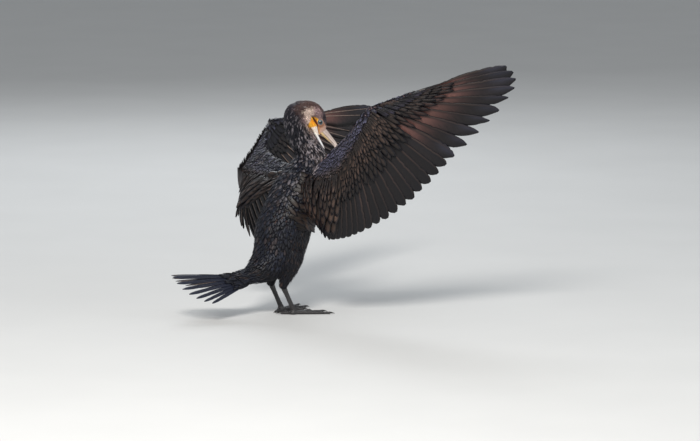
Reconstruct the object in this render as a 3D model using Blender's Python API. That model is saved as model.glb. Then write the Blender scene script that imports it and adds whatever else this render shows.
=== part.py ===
"""A great cormorant drying its wings, as a life-size still model.

The bird faces +X, its left side is +Y and up is +Z. It stands on the soles of
its feet at z = 0. Lengths here are in millimetres until a mesh is made from
them, which is in metres. Each sub-part is one object, named after the part.
"""
import math

import bmesh
import bpy
import numpy as np
from mathutils import Matrix, Vector

MM = 0.001
GAP = 0.3                 # space left between two parts that touch
RING_POINTS = 18          # points round a lofted section of the body
FORWARD, LEFT, UP = np.identity(3)

# Torso: centre x and z of each section, half width, half depth, and the slope
# of the body's axis in degrees, from the rump to the base of the neck
TORSO = [
    (-112, 91, 24, 19, 22),
    (-101, 95, 31, 26, 28),
    (-79, 103, 42, 35, 38),
    (-53, 118, 52, 49, 52),
    (-33, 147, 58, 62, 63),
    (-22, 185, 62, 67, 70),
    (0, 237, 63, 63, 68),
    (24, 290, 59, 55, 63),
    (43, 322, 49, 47, 66),
    (50, 337, 43, 42, 72),
]
# Neck: the same five values, and how far the section lies to the bird's right
NECK = [
    (50, 337, 43, 42, 72, 0),
    (54, 355, 37, 37, 88, 0),
    (47, 376, 33, 34, 110, 0),
    (31, 398, 31, 33, 116, 1),
    (18, 421, 30, 34, 98, 4),
    (11, 444, 29, 34, 86, 9),
    (14, 463, 27, 32, 56, 14),
    (27, 474, 17, 17, 32, 19),
]

# Head: the place of the point midway between the eyes, and the way it faces
HEAD_AT = (53.6, -41.2, 441.9)
HEAD_YAW = -29.7          # turned to the bird's right
HEAD_PITCH = -52.2        # bill down
# Sections of the skull in the head's own frame: x forward, z of the top and
# of the bottom, and half width. Those of the jaw and bill are read alike
SKULL = [
    (-68, -12, -20, 4),
    (-63, -4, -29, 14),
    (-53, 9, -32, 21),
    (-40, 18.5, -30, 24.5),
    (-29, 22.3, -25, 24),
    (-22, 22.6, -13, 23),
    (-15, 22.3, -8, 21),
    (-4, 19.5, -9, 18),
    (8, 13, -13, 13.5),
    (16, 6.5, -16, 10.5),
    (22, 1, -18, 8.5),
]
JAW = [
    (-46, -10, -24, 12),
    (-38, -5, -28, 18),
    (-26, -4, -29.5, 22),
    (-18, -8.3, -29.2, 20.5),
    (-10, -11.5, -28.5, 17),
    (2, -15.5, -27.8, 12),
    (14, -19.8, -28, 8),
]
LOWER_BILL = [
    (14, -19.8, -28, 7.6),
    (28, -23, -29.6, 5.8),
    (42, -26, -31, 4.2),
    (52, -28.2, -31.6, 2.8),
    (56, -29.8, -31.2, 1.0),
]
# Upper bill: centre x and z, half depth, half width and slope in degrees
UPPER_BILL = [
    (22, -8.5, 9.3, 8.2, 0),
    (34, -7.6, 7.6, 6.3, 2),
    (48, -6.4, 6.2, 5.0, 3),
    (60, -5.6, 5.0, 4.3, -2),
    (67, -6.2, 4.4, 3.8, -16),
    (71.2, -8.8, 3.7, 3.0, -52),
    (73, -12.3, 2.4, 1.9, -78),
    (73, -15.6, 0.6, 0.6, -95),
]
EYE_RADIUS = 7.5
EYE_OFFSET = 12.0         # from the middle of the head to an eye's centre
LID_RING = 6.4            # radius of the ring of skin round the eye
LID_SKIN = 1.6            # thickness of that ring
LID_OFFSET = 16.6

# Wings: shoulder, elbow, wrist and the end of the hand's bones, with the front
# of the shoulder where the leading edge starts. y is outwards on both sides
WINGS = {
    "right": {
        "side": -1,
        "front": (38, 50, 342),
        "shoulder": (11.5, 40, 308),
        "elbow": (0, 203.5, 336),
        "wrist": (62.6, 243, 486.5),
        "finger": (137, 297, 526),
        "slack": 6.0,
        "camber": 12.0,
        # the ends of the feathers: the number of the feather counted from the
        # outermost primary, and the place of its tip
        "tips": [
            (0, (308, 424, 589)),
            (1.5, (326, 433, 568)),
            (3, (327, 428, 538)),
            (5, (304, 399, 485)),
            (9, (236, 324, 378)),
            (15, (153, 249, 266)),
            (20, (78, 184, 202)),
            (26, (29, 122, 180)),
            (30, (20, 86, 204)),
        ],
        # the way the upper surface faces: at the hand, forearm and upper arm
        "faces": [(0, (-0.55, 0.83, -0.12)), (9, (-0.54, 0.84, -0.05)),
                  (22, (-0.55, 0.83, 0.0)), (27, (-0.75, 0.65, 0.05)),
                  (30, (-0.93, 0.35, 0.1))],
    },
    "left": {
        "side": 1,
        "front": (34, 50, 336),
        "shoulder": (11.5, 40, 308),
        "elbow": (-12, 213, 305),
        "wrist": (108, 266, 408),
        "finger": (204, 291, 411),
        "slack": 34.0,
        "camber": 10.0,
        "tips": [
            (0, (446, 348, 413)),
            (1.5, (442, 350, 385)),
            (3, (425, 345, 350)),
            (5, (388, 330, 315)),
            (9, (303, 282, 277)),
            (15, (190, 236, 210)),
            (20, (95, 205, 160)),
            (25, (20, 178, 136)),
            (28, (-56, 152, 206)),
            (30, (-52, 112, 232)),
        ],
        "faces": [(0, (-0.29, 0.957, 0.0)), (9, (-0.33, 0.945, 0.0)),
                  (20, (-0.45, 0.89, 0.05)), (26, (-0.85, 0.5, 0.1)),
                  (30, (-0.97, 0.2, 0.12))],
    },
}
PRIMARIES = 10            # on each hand
SECONDARIES = 16          # on each forearm
TERTIALS = 5              # on each upper arm
BONE_HALF = 11.0          # half thickness of the flesh along the arm's bones
EDGE_HALF = 4.0           # half thickness near the leading edge
ROOT_MARGIN = 13.0        # how far the flesh reaches behind the bones
LEADING_MARGIN = 9.0      # how far it reaches before the wrist and hand
# Section of the flesh, from behind the bones (0) to the leading edge (1): the
# place along it, and the half thickness there as a share of BONE_HALF
WING_SECTION = [(0.0, 0.0), (0.10, 0.75), (0.25, 1.0), (0.6, 0.55), (0.92, 0.4), (1.0, 0.0)]
FINGER_SHARE = 0.65       # size of the hand's section at the finger's end
VANE_THICKNESS = 0.6
# Height gained from one feather to the next, so that they lie clear of each
# other: the number of the feather, and the height there in all
VANE_STEPS = [(-4, -5.2), (20, 26.0), (24, 32.0), (36, 58.0)]
TAIL_STEP = 1.1
BENT_FROM = 21            # feathers from here on are folded along the shaft
ELBOW_ROUNDING = 3.0      # feathers either side of the elbow whose roots round it
ELBOW_SPREAD = 0.7        # how far along the bones each of those is averaged
OUTER_VANE_SHARE = 0.4    # share of a feather's width before its shaft
# Rows of feathers: the width of one, and the places along it, from root to tip,
# with its width there as a share of the whole
PRIMARY_SHAPE = [(0.0, 0.15), (0.14, 0.33), (0.35, 0.75), (0.6, 1.0), (0.91, 0.9), (1.0, 0.15)]
SECONDARY_SHAPE = [(0.0, 0.3), (0.14, 0.5), (0.35, 0.95), (0.6, 1.0), (0.91, 0.88), (1.0, 0.15)]
TERTIAL_SHAPE = [(0.0, 1.0), (0.14, 1.0), (0.35, 0.95), (0.6, 0.8), (0.91, 0.6), (1.0, 0.12)]
PRIMARY_WIDTH = 39.0
SECONDARY_WIDTH = 30.0
TERTIAL_WIDTH = 40.0
COVERT_SHAPE = [(0.0, 0.7), (0.4, 1.0), (0.82, 0.85), (1.0, 0.15)]
SMALL_COVERT_SHAPE = [(0.0, 0.4), (0.45, 1.0), (0.82, 0.85), (1.0, 0.2)]
# Coverts: first and last place along the wing, the distance between two of
# them, where they start and end along the flight feathers, width and lift
COVERTS = {
    "hand": [(0.2, 8.3, 1.0, 0.0, 0.41, 22.0, 4.6, COVERT_SHAPE),
             (0.6, 8.0, 1.6, 0.0, 0.2, 24.0, 8.2, SMALL_COVERT_SHAPE)],
    "arm": [(10.6, 25.6, 1.0, 0.0, 0.47, 25.0, 4.6, COVERT_SHAPE),
            (26.5, 30.0, 0.7, 0.0, 0.52, 34.0, 4.6, COVERT_SHAPE),
            (11.2, 29.6, 1.7, -0.04, 0.27, 27.0, 8.6, SMALL_COVERT_SHAPE)],
}

# Tail: fourteen feathers in a fan, its middle raised like a roof ridge
TAIL_ROOT = (-111, 0, 95)
TAIL_AIM = (-0.956, 0.292, 0.055)
# The end of the rump under the tail feathers: place along it, half width, half depth
TAIL_CORE = [(-18, 25, 19), (0, 25, 20), (16, 24, 17), (34, 20, 11), (50, 13, 5)]
TAIL_FEATHERS = 14
TAIL_LENGTH = 182.0
TAIL_OUTER_SHARE = 0.66   # length of the outermost feather, of the middle one
TAIL_SPREAD = 35.0        # degrees from the middle to the outermost feather
TAIL_SLOPE = 36.0         # how steeply each side of the fan falls away
TAIL_BASE_HALF = 17.0     # half the width of the row of roots
TAIL_ROLL = 6.0           # the whole fan leans to the bird's right
TAIL_WIDTH = 11.5         # of one tail feather
TAIL_SHAPE = [(0.0, 0.5), (0.3, 0.9), (0.6, 1.0), (0.9, 0.85), (1.0, 0.15)]

# Legs, with y outwards on both sides
THIGH = [
    (-18, 38, 150, 27),
    (-22, 37, 126, 26),
    (-29, 33, 99, 20),
    (-35, 29, 78, 14),
    (-39, 27, 63, 9),
]
TARSUS_TOP = (-37, 27, 66)
TARSUS_FOOT = (-10, 28, 9)
TARSUS_HALF_WIDTH = 4.6
TARSUS_HALF_DEPTH = 6.2
# Places down the tarsus, and the size there as a share of the whole
TARSUS_SIZES = [(0, 1.15), (0.15, 1.1), (0.3, 0.95), (0.6, 0.9), (0.85, 1.0), (1, 1.15)]
SOLE = (10.0, 8.5, 7.0)   # half length, half width and height of the foot under the tarsus
# Toes: degrees outwards from straight ahead, and length without the claw
TOES = {"outer": (24, 84), "middle": (2, 74), "inner": (-24, 54), "hind": (-152, 30)}
FOOT_YAW = 6.0
TOE_RADIUS = 4.6
TOE_END_SHARE = 0.62      # radius at the end of a toe, of that at its root
CLAW_LENGTH = 11.0
CLAW_SIZES = [(-0.3, 2.2), (0.15, 1.9), (0.6, 1.1), (1.0, 0.4)]
CLAW_TOP = 3.2            # height of a claw's middle at its root
CLAW_DROP = 2.4           # how far it curves down
WEB_THICKNESS = 1.6
WEB_HEIGHT = 1.0
WEB_BAY = 0.14            # how far the edge of a web runs back between two toes

COLOURS = {
    "plumage": ((0.035, 0.035, 0.045), 0.55),
    "vanes": ((0.045, 0.038, 0.036), 0.5),
    "bill": ((0.62, 0.56, 0.46), 0.35),
    "eye": ((0.02, 0.11, 0.09), 0.08),
    "skin": ((0.05, 0.05, 0.055), 0.45),
}


def clear_scene():
    for obj in list(bpy.data.objects):
        bpy.data.objects.remove(obj, do_unlink=True)


def make_material(name):
    colour, roughness = COLOURS[name]
    material = bpy.data.materials.new(name)
    material.use_nodes = True
    shader = material.node_tree.nodes["Principled BSDF"]
    shader.inputs["Base Color"].default_value = (*colour, 1.0)
    shader.inputs["Roughness"].default_value = roughness
    return material


def smooth_row(rows, where):
    """The row of numbers at a place between rows, on a smooth curve through them."""
    rows = np.asarray(rows, float)
    last = len(rows) - 1
    where = min(max(where, 0.0), float(last))
    k = min(int(where), last - 1)
    t = where - k
    before = rows[max(k - 1, 0)]
    after = rows[min(k + 2, last)]
    a, b = rows[k], rows[k + 1]
    return 0.5 * (2 * a + (b - before) * t + (2 * before - 5 * a + 4 * b - after) * t ** 2
                  + (3 * a - before - 3 * b + after) * t ** 3)


def keyed_row(keys, u):
    """The smooth value at u of a curve given as (u, values) keys."""
    places = [key[0] for key in keys]
    where = float(np.interp(u, places, range(len(places))))
    return smooth_row([key[1] for key in keys], where)


def unit(v):
    v = np.asarray(v, float)
    return v / np.linalg.norm(v)


def section(centre, side, up, half_width, half_depth, count=RING_POINTS):
    """An ellipse of points round a centre, in the plane of side and up."""
    points = []
    for k in range(count):
        angle = 2 * math.pi * k / count
        points.append(centre + side * half_width * math.cos(angle) + up * half_depth * math.sin(angle))
    return points


def leaning_up(slope):
    """The upward way of a section on an axis with this slope, in degrees."""
    return UP * math.cos(math.radians(slope)) - FORWARD * math.sin(math.radians(slope))


def loft_mesh(rings):
    """A closed bmesh through rings of points, with a flat cap at each end."""
    mesh = bmesh.new()
    made = [[mesh.verts.new(Vector(point)) for point in ring] for ring in rings]
    count = len(made[0])
    for low, high in zip(made, made[1:]):
        for k in range(count):
            n = (k + 1) % count
            mesh.faces.new((low[k], low[n], high[n], high[k]))
    mesh.faces.new(reversed(made[0]))
    mesh.faces.new(made[-1])
    bmesh.ops.triangulate(mesh, faces=mesh.faces[:])
    bmesh.ops.recalc_face_normals(mesh, faces=mesh.faces[:])
    return mesh


def add_object(name, mesh, collection, material=None, smooth=True):
    """An object from a bmesh in millimetres, scaled to metres."""
    bmesh.ops.scale(mesh, vec=(MM, MM, MM), verts=mesh.verts)
    if mesh.calc_volume(signed=True) < 0:
        bmesh.ops.reverse_faces(mesh, faces=mesh.faces[:])
    data = bpy.data.meshes.new(name)
    mesh.to_mesh(data)
    mesh.free()
    obj = bpy.data.objects.new(name, data)
    collection.objects.link(obj)
    if material:
        data.materials.append(material)
    if smooth:
        data.shade_smooth()
    return obj


def keep_largest(mesh):
    """Keep only the largest closed surface of a bmesh."""
    groups = []
    seen = set()
    for start in mesh.faces:
        if start in seen:
            continue
        group = [start]
        seen.add(start)
        for face in group:
            for edge in face.edges:
                for other in edge.link_faces:
                    if other not in seen:
                        seen.add(other)
                        group.append(other)
        groups.append(group)
    groups.sort(key=lambda group: sum(face.calc_area() for face in group))
    loose = [face for group in groups[:-1] for face in group]
    bmesh.ops.delete(mesh, geom=loose, context="FACES")


def apply_boolean(obj, operation, operand, solver="EXACT"):
    """Join a collection to the object, or cut an object from it, and tidy the result."""
    modifier = obj.modifiers.new(operation, "BOOLEAN")
    modifier.operation = operation
    modifier.solver = solver
    if operation == "UNION":
        modifier.operand_type = "COLLECTION"
        modifier.collection = operand
    else:
        modifier.object = operand
    evaluated = obj.evaluated_get(bpy.context.evaluated_depsgraph_get())
    result = bpy.data.meshes.new_from_object(evaluated)
    obj.modifiers.remove(modifier)
    mesh = bmesh.new()
    mesh.from_mesh(result)
    bmesh.ops.triangulate(mesh, faces=mesh.faces[:])
    keep_largest(mesh)
    mesh.to_mesh(result)
    mesh.free()
    obj.data = result


def fuse(obj, pieces, solver="EXACT"):
    """Join the pieces, a collection of closed meshes, to the object and remove them."""
    apply_boolean(obj, "UNION", pieces, solver)
    for piece in list(pieces.objects):
        bpy.data.objects.remove(piece, do_unlink=True)
    bpy.data.collections.remove(pieces)


def cut_clear(obj, neighbours):
    """Cut from the object all that lies in its neighbours, and the gap round them."""
    for neighbour in neighbours:
        mesh = bmesh.new()
        mesh.from_mesh(neighbour.data)
        mesh.normal_update()
        moved = [vert.co + vert.normal * GAP * MM for vert in mesh.verts]
        for vert, place in zip(mesh.verts, moved):
            vert.co = place
        data = bpy.data.meshes.new("cutter")
        mesh.to_mesh(data)
        mesh.free()
        cutter = bpy.data.objects.new("cutter", data)
        bpy.context.scene.collection.objects.link(cutter)
        apply_boolean(obj, "DIFFERENCE", cutter)
        bpy.data.objects.remove(cutter, do_unlink=True)


def new_collection(name):
    collection = bpy.data.collections.new(name)
    bpy.context.scene.collection.children.link(collection)
    return collection


def trunk_rings(stations, first, last, count):
    """Rings round the bird's axis from rows of x, z, half width, half depth, slope and offset."""
    rings = []
    for step in range(count + 1):
        row = smooth_row(stations, first + (last - first) * step / count)
        x, z, half_width, half_depth, slope = row[:5]
        offset = row[5] if len(row) > 5 else 0.0
        centre = np.array((x, -offset, z))
        rings.append(section(centre, LEFT, leaning_up(slope), half_width, half_depth))
    return rings


def slide(rings, distance):
    """Move the first ring of a loft towards the second by a distance."""
    first = np.array(rings[0])
    way = unit(np.mean(rings[1], axis=0) - np.mean(rings[0], axis=0))
    rings[0] = list(first + way * distance)
    return rings


def build_torso(collection, material):
    rings = trunk_rings(TORSO, 0, len(TORSO) - 1, 18)
    return add_object("torso", loft_mesh(rings), collection, material)


def build_neck(collection, material):
    rings = slide(trunk_rings(NECK, 0, len(NECK) - 1, 12), GAP)
    return add_object("neck", loft_mesh(rings), collection, material)


def head_matrix():
    """The place of the head's own frame: x along the bill, y left, z up."""
    turn = (Matrix.Rotation(math.radians(HEAD_YAW), 3, "Z")
            @ Matrix.Rotation(math.radians(-HEAD_PITCH), 3, "Y"))
    return Matrix.Translation(Vector(HEAD_AT)) @ turn.to_4x4()


def bar_rings(stations, count):
    """Rings round the head's x axis from rows of x, top, bottom and half width."""
    rings = []
    for step in range(count + 1):
        x, top, bottom, half_width = smooth_row(stations, (len(stations) - 1) * step / count)
        centre = np.array((x, 0, (top + bottom) / 2))
        rings.append(section(centre, LEFT, UP,
                             half_width, (top - bottom) / 2, 14))
    return rings


def place_on_head(mesh):
    bmesh.ops.transform(mesh, matrix=head_matrix(), verts=mesh.verts)
    return mesh


def sphere(radius, centre, u_segments=14, v_segments=8):
    mesh = bmesh.new()
    bmesh.ops.create_uvsphere(mesh, u_segments=u_segments, v_segments=v_segments, radius=radius)
    bmesh.ops.translate(mesh, vec=Vector(centre), verts=mesh.verts)
    return mesh


def lid_ring(side):
    """The ring of bare skin round an eye, facing out to one side."""
    mesh = bmesh.new()
    around, across = 12, 5
    rows = []
    for k in range(around):
        angle = 2 * math.pi * k / around
        row = []
        for j in range(across):
            turn = 2 * math.pi * j / across
            radius = LID_RING + LID_SKIN * math.cos(turn)
            out = LID_OFFSET + LID_SKIN * math.sin(turn)
            row.append(mesh.verts.new((radius * math.cos(angle), side * out, radius * math.sin(angle))))
        rows.append(row)
    for k in range(around):
        for j in range(across):
            low, high = rows[k], rows[(k + 1) % around]
            n = (j + 1) % across
            mesh.faces.new((low[j], low[n], high[n], high[j]))
    bmesh.ops.recalc_face_normals(mesh, faces=mesh.faces[:])
    return mesh


def build_head(collection, material, eye_material, bill_material):
    """The skull and jaw with their lids, the eyes, and the two halves of the bill."""
    eyes = []
    for name, side in (("eye_left", 1), ("eye_right", -1)):
        ball = sphere(EYE_RADIUS, (0, side * EYE_OFFSET, 0))
        eyes.append(add_object(name, place_on_head(ball), collection, eye_material))
    head = add_object("head", place_on_head(loft_mesh(bar_rings(SKULL, 14))), collection, material)
    pieces = new_collection("head pieces")
    add_object("jaw", place_on_head(loft_mesh(bar_rings(JAW, 7))), pieces)
    for side in (1, -1):
        add_object("lid", place_on_head(lid_ring(side)), pieces)
    fuse(head, pieces)
    cut_clear(head, eyes)
    lower = slide(bar_rings(LOWER_BILL, 8), GAP)
    add_object("lower_bill", place_on_head(loft_mesh(lower)), collection, bill_material)
    rings = []
    for step in range(15):
        x, z, half_depth, half_width, slope = smooth_row(UPPER_BILL, (len(UPPER_BILL) - 1) * step / 14)
        rings.append(section(np.array((x, 0, z)), LEFT, leaning_up(slope), half_width, half_depth, 12))
    add_object("upper_bill", place_on_head(loft_mesh(slide(rings, GAP))), collection, bill_material)
    return head


class WingSurface:
    """The surface that a wing's feathers lie on, from the bones to the feathers' tips.

    u counts the feathers, from the outermost primary inwards, and v runs from
    the root of a feather, at 0, to its tip, at 1.
    """

    def __init__(self, wing):
        self.mirror = np.array((1, wing["side"], 1))
        self.wing = wing
        self.joints = [np.array(wing[name], float) for name in ("finger", "wrist", "elbow", "shoulder")]
        self.limits = [0, PRIMARIES - 0.5, PRIMARIES + SECONDARIES - 0.5,
                       PRIMARIES + SECONDARIES + TERTIALS - 0.5]

    def root(self, u):
        """The place of a root on the line of the bones, which rounds the elbow."""
        reach = max(ELBOW_ROUNDING - abs(u - self.limits[2]), 0) * ELBOW_SPREAD
        places = np.linspace(u - reach, u + reach, 5)
        return np.array([np.mean(np.interp(places, self.limits, [joint[k] for joint in self.joints]))
                         for k in range(3)])

    def height(self, u):
        return float(np.interp(u, [key[0] for key in VANE_STEPS], [key[1] for key in VANE_STEPS]))

    def columns(self, u):
        return 2 if u >= BENT_FROM else 1

    def face(self, u):
        return unit(keyed_row(self.wing["faces"], u))

    def point(self, u, v, lift=0.0):
        last = self.limits[3] - 0.5
        inside = min(max(u, 0.0), last)
        if inside != u:
            near = 0.5 if u < 0 else last - 0.5
            here = self.point(inside, v, lift)
            return here + (here - self.point(near, v, lift)) * abs(u - inside) / 0.5
        root = self.root(u)
        tip = keyed_row(self.wing["tips"], u)
        bow = self.wing["camber"] * 4 * v * (1 - v)
        return (root + (tip - root) * v + self.face(u) * (bow + lift)) * self.mirror


def sheet(surface, left, right, columns, stations, lift, thickness=VANE_THICKNESS):
    """A thin closed sheet on a surface, with both faces split into triangles alike.

    left and right give the u of its edges at each v, and lift its height
    above the surface at (u, v).
    """
    mesh = bmesh.new()
    layers = []
    for half in (0.5, -0.5):
        layer = []
        for v in stations:
            thin = 1.0 if v < stations[-1] else 0.5
            row = []
            for k in range(columns + 1):
                u = left(v) + (right(v) - left(v)) * k / columns
                place = surface.point(u, v, lift(u, v) + half * thickness * thin)
                row.append(mesh.verts.new(Vector(place)))
            layer.append(row)
        layers.append(layer)
    top, under = layers
    rows = len(stations)

    def quad(a, b, c, d):
        mesh.faces.new((a, b, c))
        mesh.faces.new((a, c, d))

    for j in range(rows - 1):
        for k in range(columns):
            for layer, flip in ((top, False), (under, True)):
                a, b, c, d = layer[j][k], layer[j][k + 1], layer[j + 1][k + 1], layer[j + 1][k]
                mesh.faces.new((a, c, b) if flip else (a, b, c))
                mesh.faces.new((a, d, c) if flip else (a, c, d))
        quad(top[j][0], top[j + 1][0], under[j + 1][0], under[j][0])
        quad(top[j + 1][columns], top[j][columns], under[j][columns], under[j + 1][columns])
    for k in range(columns):
        quad(top[0][k + 1], top[0][k], under[0][k], under[0][k + 1])
        quad(top[rows - 1][k], top[rows - 1][k + 1], under[rows - 1][k + 1], under[rows - 1][k])
    bmesh.ops.recalc_face_normals(mesh, faces=mesh.faces[:])
    return mesh


def vane(surface, place, shape, width, start, end, lift=0.0, spacing=1.0):
    """One feather as a thin closed strip, tilted so that its neighbours lie clear of it."""
    places = [start + (end - start) * along for along, _ in shape]

    def half_width(v):
        across = surface.point(place + spacing / 2, v) - surface.point(place - spacing / 2, v)
        return width * np.interp(v, places, [size for _, size in shape]) * spacing / np.linalg.norm(across)

    return sheet(surface,
                 lambda v: place - half_width(v) * OUTER_VANE_SHARE,
                 lambda v: place + half_width(v) * (1 - OUTER_VANE_SHARE),
                 surface.columns(place), places,
                 lambda u, v: lift - surface.height(u) + surface.height(place))


def add_row(surface, pieces, rows):
    """The coverts of a wing section, in rows that lie over one another."""
    for first, last, spacing, start, end, width, lift, shape in rows:
        for k in range(int((last - first) / spacing) + 1):
            covert = vane(surface, first + k * spacing, shape, width, start, end, lift, spacing)
            add_object("covert", covert, pieces)


def blade(start, end, face, size=1.0):
    """The section of a wing's flesh: thick along the bones, thin at the leading edge."""
    upper, lower = [], []
    for share, height in WING_SECTION:
        half = BONE_HALF * height * size
        if 0.5 < share < 1:
            half = max(EDGE_HALF * size, half)
        middle = start + (end - start) * share
        upper.append(middle + face * half)
        lower.append(middle - face * half)
    return upper + lower[-2:0:-1]


def arm_core(wing, surface):
    """The flesh of the upper arm and forearm, with the skin before them."""
    front, shoulder, elbow, wrist = [np.array(wing[name], float)
                                     for name in ("front", "shoulder", "elbow", "wrist")]
    rings = []
    for step in range(13):
        share = step / 12
        bone = np.array([np.interp(share, [0, 0.5, 1], ends) for ends in zip(shoulder, elbow, wrist)])
        lead = front + (wrist - front) * share
        lead = lead + unit(elbow - (front + wrist) / 2) * wing["slack"] * math.sin(math.pi * share)
        u = float(np.interp(share, [0, 0.5, 1], [surface.limits[3], surface.limits[2], surface.limits[1]]))
        face = surface.face(u)
        tip = keyed_row(wing["tips"], u)
        back = unit(tip - bone)
        start = bone + back * ROOT_MARGIN
        end = lead - back * LEADING_MARGIN * share
        rings.append([point * surface.mirror for point in blade(start, end, face)])
    return loft_mesh(rings)


def hand_core(wing, surface):
    """The flesh of the hand, a tapering blade from the wrist to the finger's end."""
    wrist, finger = np.array(wing["wrist"], float), np.array(wing["finger"], float)
    rings = []
    for step in range(7):
        share = step / 6
        bone = wrist + (finger - wrist) * share
        u = surface.limits[1] * (1 - share)
        face = surface.face(u)
        back = unit(keyed_row(wing["tips"], surface.limits[1] * (1 - share * 0.7)) - bone)
        size = 1 - (1 - FINGER_SHARE) * share
        start = bone + back * ROOT_MARGIN * size
        end = bone - back * LEADING_MARGIN * size
        rings.append([point * surface.mirror for point in blade(start, end, face, size)])
    return loft_mesh(rings)


def build_wing(name, wing, collection, material, neighbours):
    """The arm and hand of one wing, each with its feathers."""
    surface = WingSurface(wing)
    arm = add_object(f"wing_{name}_arm", arm_core(wing, surface), collection, material)
    hand = add_object(f"wing_{name}_hand", hand_core(wing, surface), collection, material)
    cut_clear(hand, [arm])
    kinds = ([(PRIMARY_SHAPE, PRIMARY_WIDTH)] * PRIMARIES
             + [(SECONDARY_SHAPE, SECONDARY_WIDTH)] * SECONDARIES
             + [(TERTIAL_SHAPE, TERTIAL_WIDTH)] * TERTIALS)
    parts = (("hand", hand, range(PRIMARIES)), ("arm", arm, range(PRIMARIES, len(kinds))))
    for section_name, obj, feathers in parts:
        pieces = new_collection("feathers")
        for k in feathers:
            add_object("vane", vane(surface, k, *kinds[k], 0.0, 1.0), pieces)
        add_row(surface, pieces, COVERTS[section_name])
        fuse(obj, pieces)
    cut_clear(arm, neighbours)
    return arm, hand


class TailSurface:
    """The surface of the tail's fan: u counts the feathers from the bird's right."""

    def __init__(self):
        self.aim = unit(TAIL_AIM)
        right = unit(np.cross(UP, self.aim))
        up = np.cross(self.aim, right)
        roll = math.radians(TAIL_ROLL)
        self.right = right * math.cos(roll) - up * math.sin(roll)
        self.up = up * math.cos(roll) + right * math.sin(roll)

    def height(self, u):
        return u * TAIL_STEP

    def columns(self, u):
        return 1

    def point(self, u, v, lift=0.0):
        share = 1 - 2 * u / (TAIL_FEATHERS - 1)
        slope = math.radians(TAIL_SLOPE)
        side = 1 if share > 0 else -1
        across = self.right * math.cos(slope) * side - self.up * math.sin(slope)
        turn = math.radians(TAIL_SPREAD) * abs(share)
        length = TAIL_LENGTH * (1 - (1 - TAIL_OUTER_SHARE) * abs(share) ** 1.5)
        root = np.array(TAIL_ROOT, float) + across * TAIL_BASE_HALF * abs(share)
        way = self.aim * math.cos(turn) + across * math.sin(turn)
        face = self.up * math.cos(slope) + self.right * math.sin(slope) * min(max(share * 3, -1), 1)
        return root + way * length * v + unit(face) * lift


def build_tail(collection, material, torso):
    """The rump's end with the tail feathers."""
    surface = TailSurface()
    rings = []
    for along, half_width, half_depth in TAIL_CORE:
        centre = np.array(TAIL_ROOT, float) + surface.aim * along - surface.up * (2 + along * 0.08)
        rings.append(section(centre, surface.right, surface.up, half_width, half_depth, 14))
    tail = add_object("tail", loft_mesh(rings), collection, material)
    pieces = new_collection("tail feathers")
    for k in range(TAIL_FEATHERS):
        add_object("vane", vane(surface, k, TAIL_SHAPE, TAIL_WIDTH, 0.0, 1.0), pieces)
    fuse(tail, pieces)
    cut_clear(tail, [torso])
    return tail


def toe_rings(start, way, length, radius, end_radius, steps=3):
    """Rings along a toe that lies on the floor, flattened where it touches."""
    rings = []
    side = np.array((-way[1], way[0], 0))
    for step in range(steps + 1):
        share = step / steps
        size = radius + (end_radius - radius) * share
        centre = start + way * length * share + UP * size * 0.8
        ring = section(centre, side, UP, size, size, 8)
        rings.append([np.array((p[0], p[1], max(p[2], 0.0))) for p in ring])
    return rings


def build_thigh(mirror):
    rings = []
    last = len(THIGH) - 1
    for step in range(9):
        place = last * step / 8
        x, y, z, radius = smooth_row(THIGH, place)
        way = unit((smooth_row(THIGH, place + 0.2) - smooth_row(THIGH, place - 0.2))[:3] * mirror)
        across = unit(np.cross(way, FORWARD))
        rings.append(section(np.array((x, y, z)) * mirror, across, np.cross(across, way),
                             radius, radius * 1.15, 14))
    return loft_mesh(rings)


def build_tarsus(mirror):
    top, base = np.array(TARSUS_TOP) * mirror, np.array(TARSUS_FOOT) * mirror
    way = unit(base - top)
    return loft_mesh([section(top + (base - top) * share, LEFT, np.cross(way, LEFT),
                              TARSUS_HALF_WIDTH * size, TARSUS_HALF_DEPTH * size, 12)
                      for share, size in TARSUS_SIZES])


def sole_mesh(base):
    """The middle of the foot, on the floor under the end of the tarsus."""
    length, width, height = SOLE
    ground = base * np.array((1, 1, 0))
    ball = section(ground, FORWARD, LEFT, length, width, 10)
    raised = [point + UP * height for point in ball]
    top = [base + (point - base) * 0.55 + UP * 5.0 for point in ball]
    return loft_mesh([ball, raised, top])


def claw_mesh(tip, way):
    side = np.array((-way[1], way[0], 0))
    rings = []
    for share, size in CLAW_SIZES:
        centre = tip + way * CLAW_LENGTH * share + UP * (CLAW_TOP - CLAW_DROP * share * share)
        rings.append(section(centre, side, UP, size * 0.8, size, 6))
    return loft_mesh(rings)


def web_mesh(corner, near, far):
    """The skin between two toes, as a flat sheet just above the floor."""
    bay = (near + far) / 2 * (1 - WEB_BAY) + corner * WEB_BAY
    outline = [corner, (near + corner) / 2, near, bay, far, (far + corner) / 2]
    low = [point + UP * WEB_HEIGHT for point in outline]
    return loft_mesh([low, [point + UP * WEB_THICKNESS for point in low]])


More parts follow.
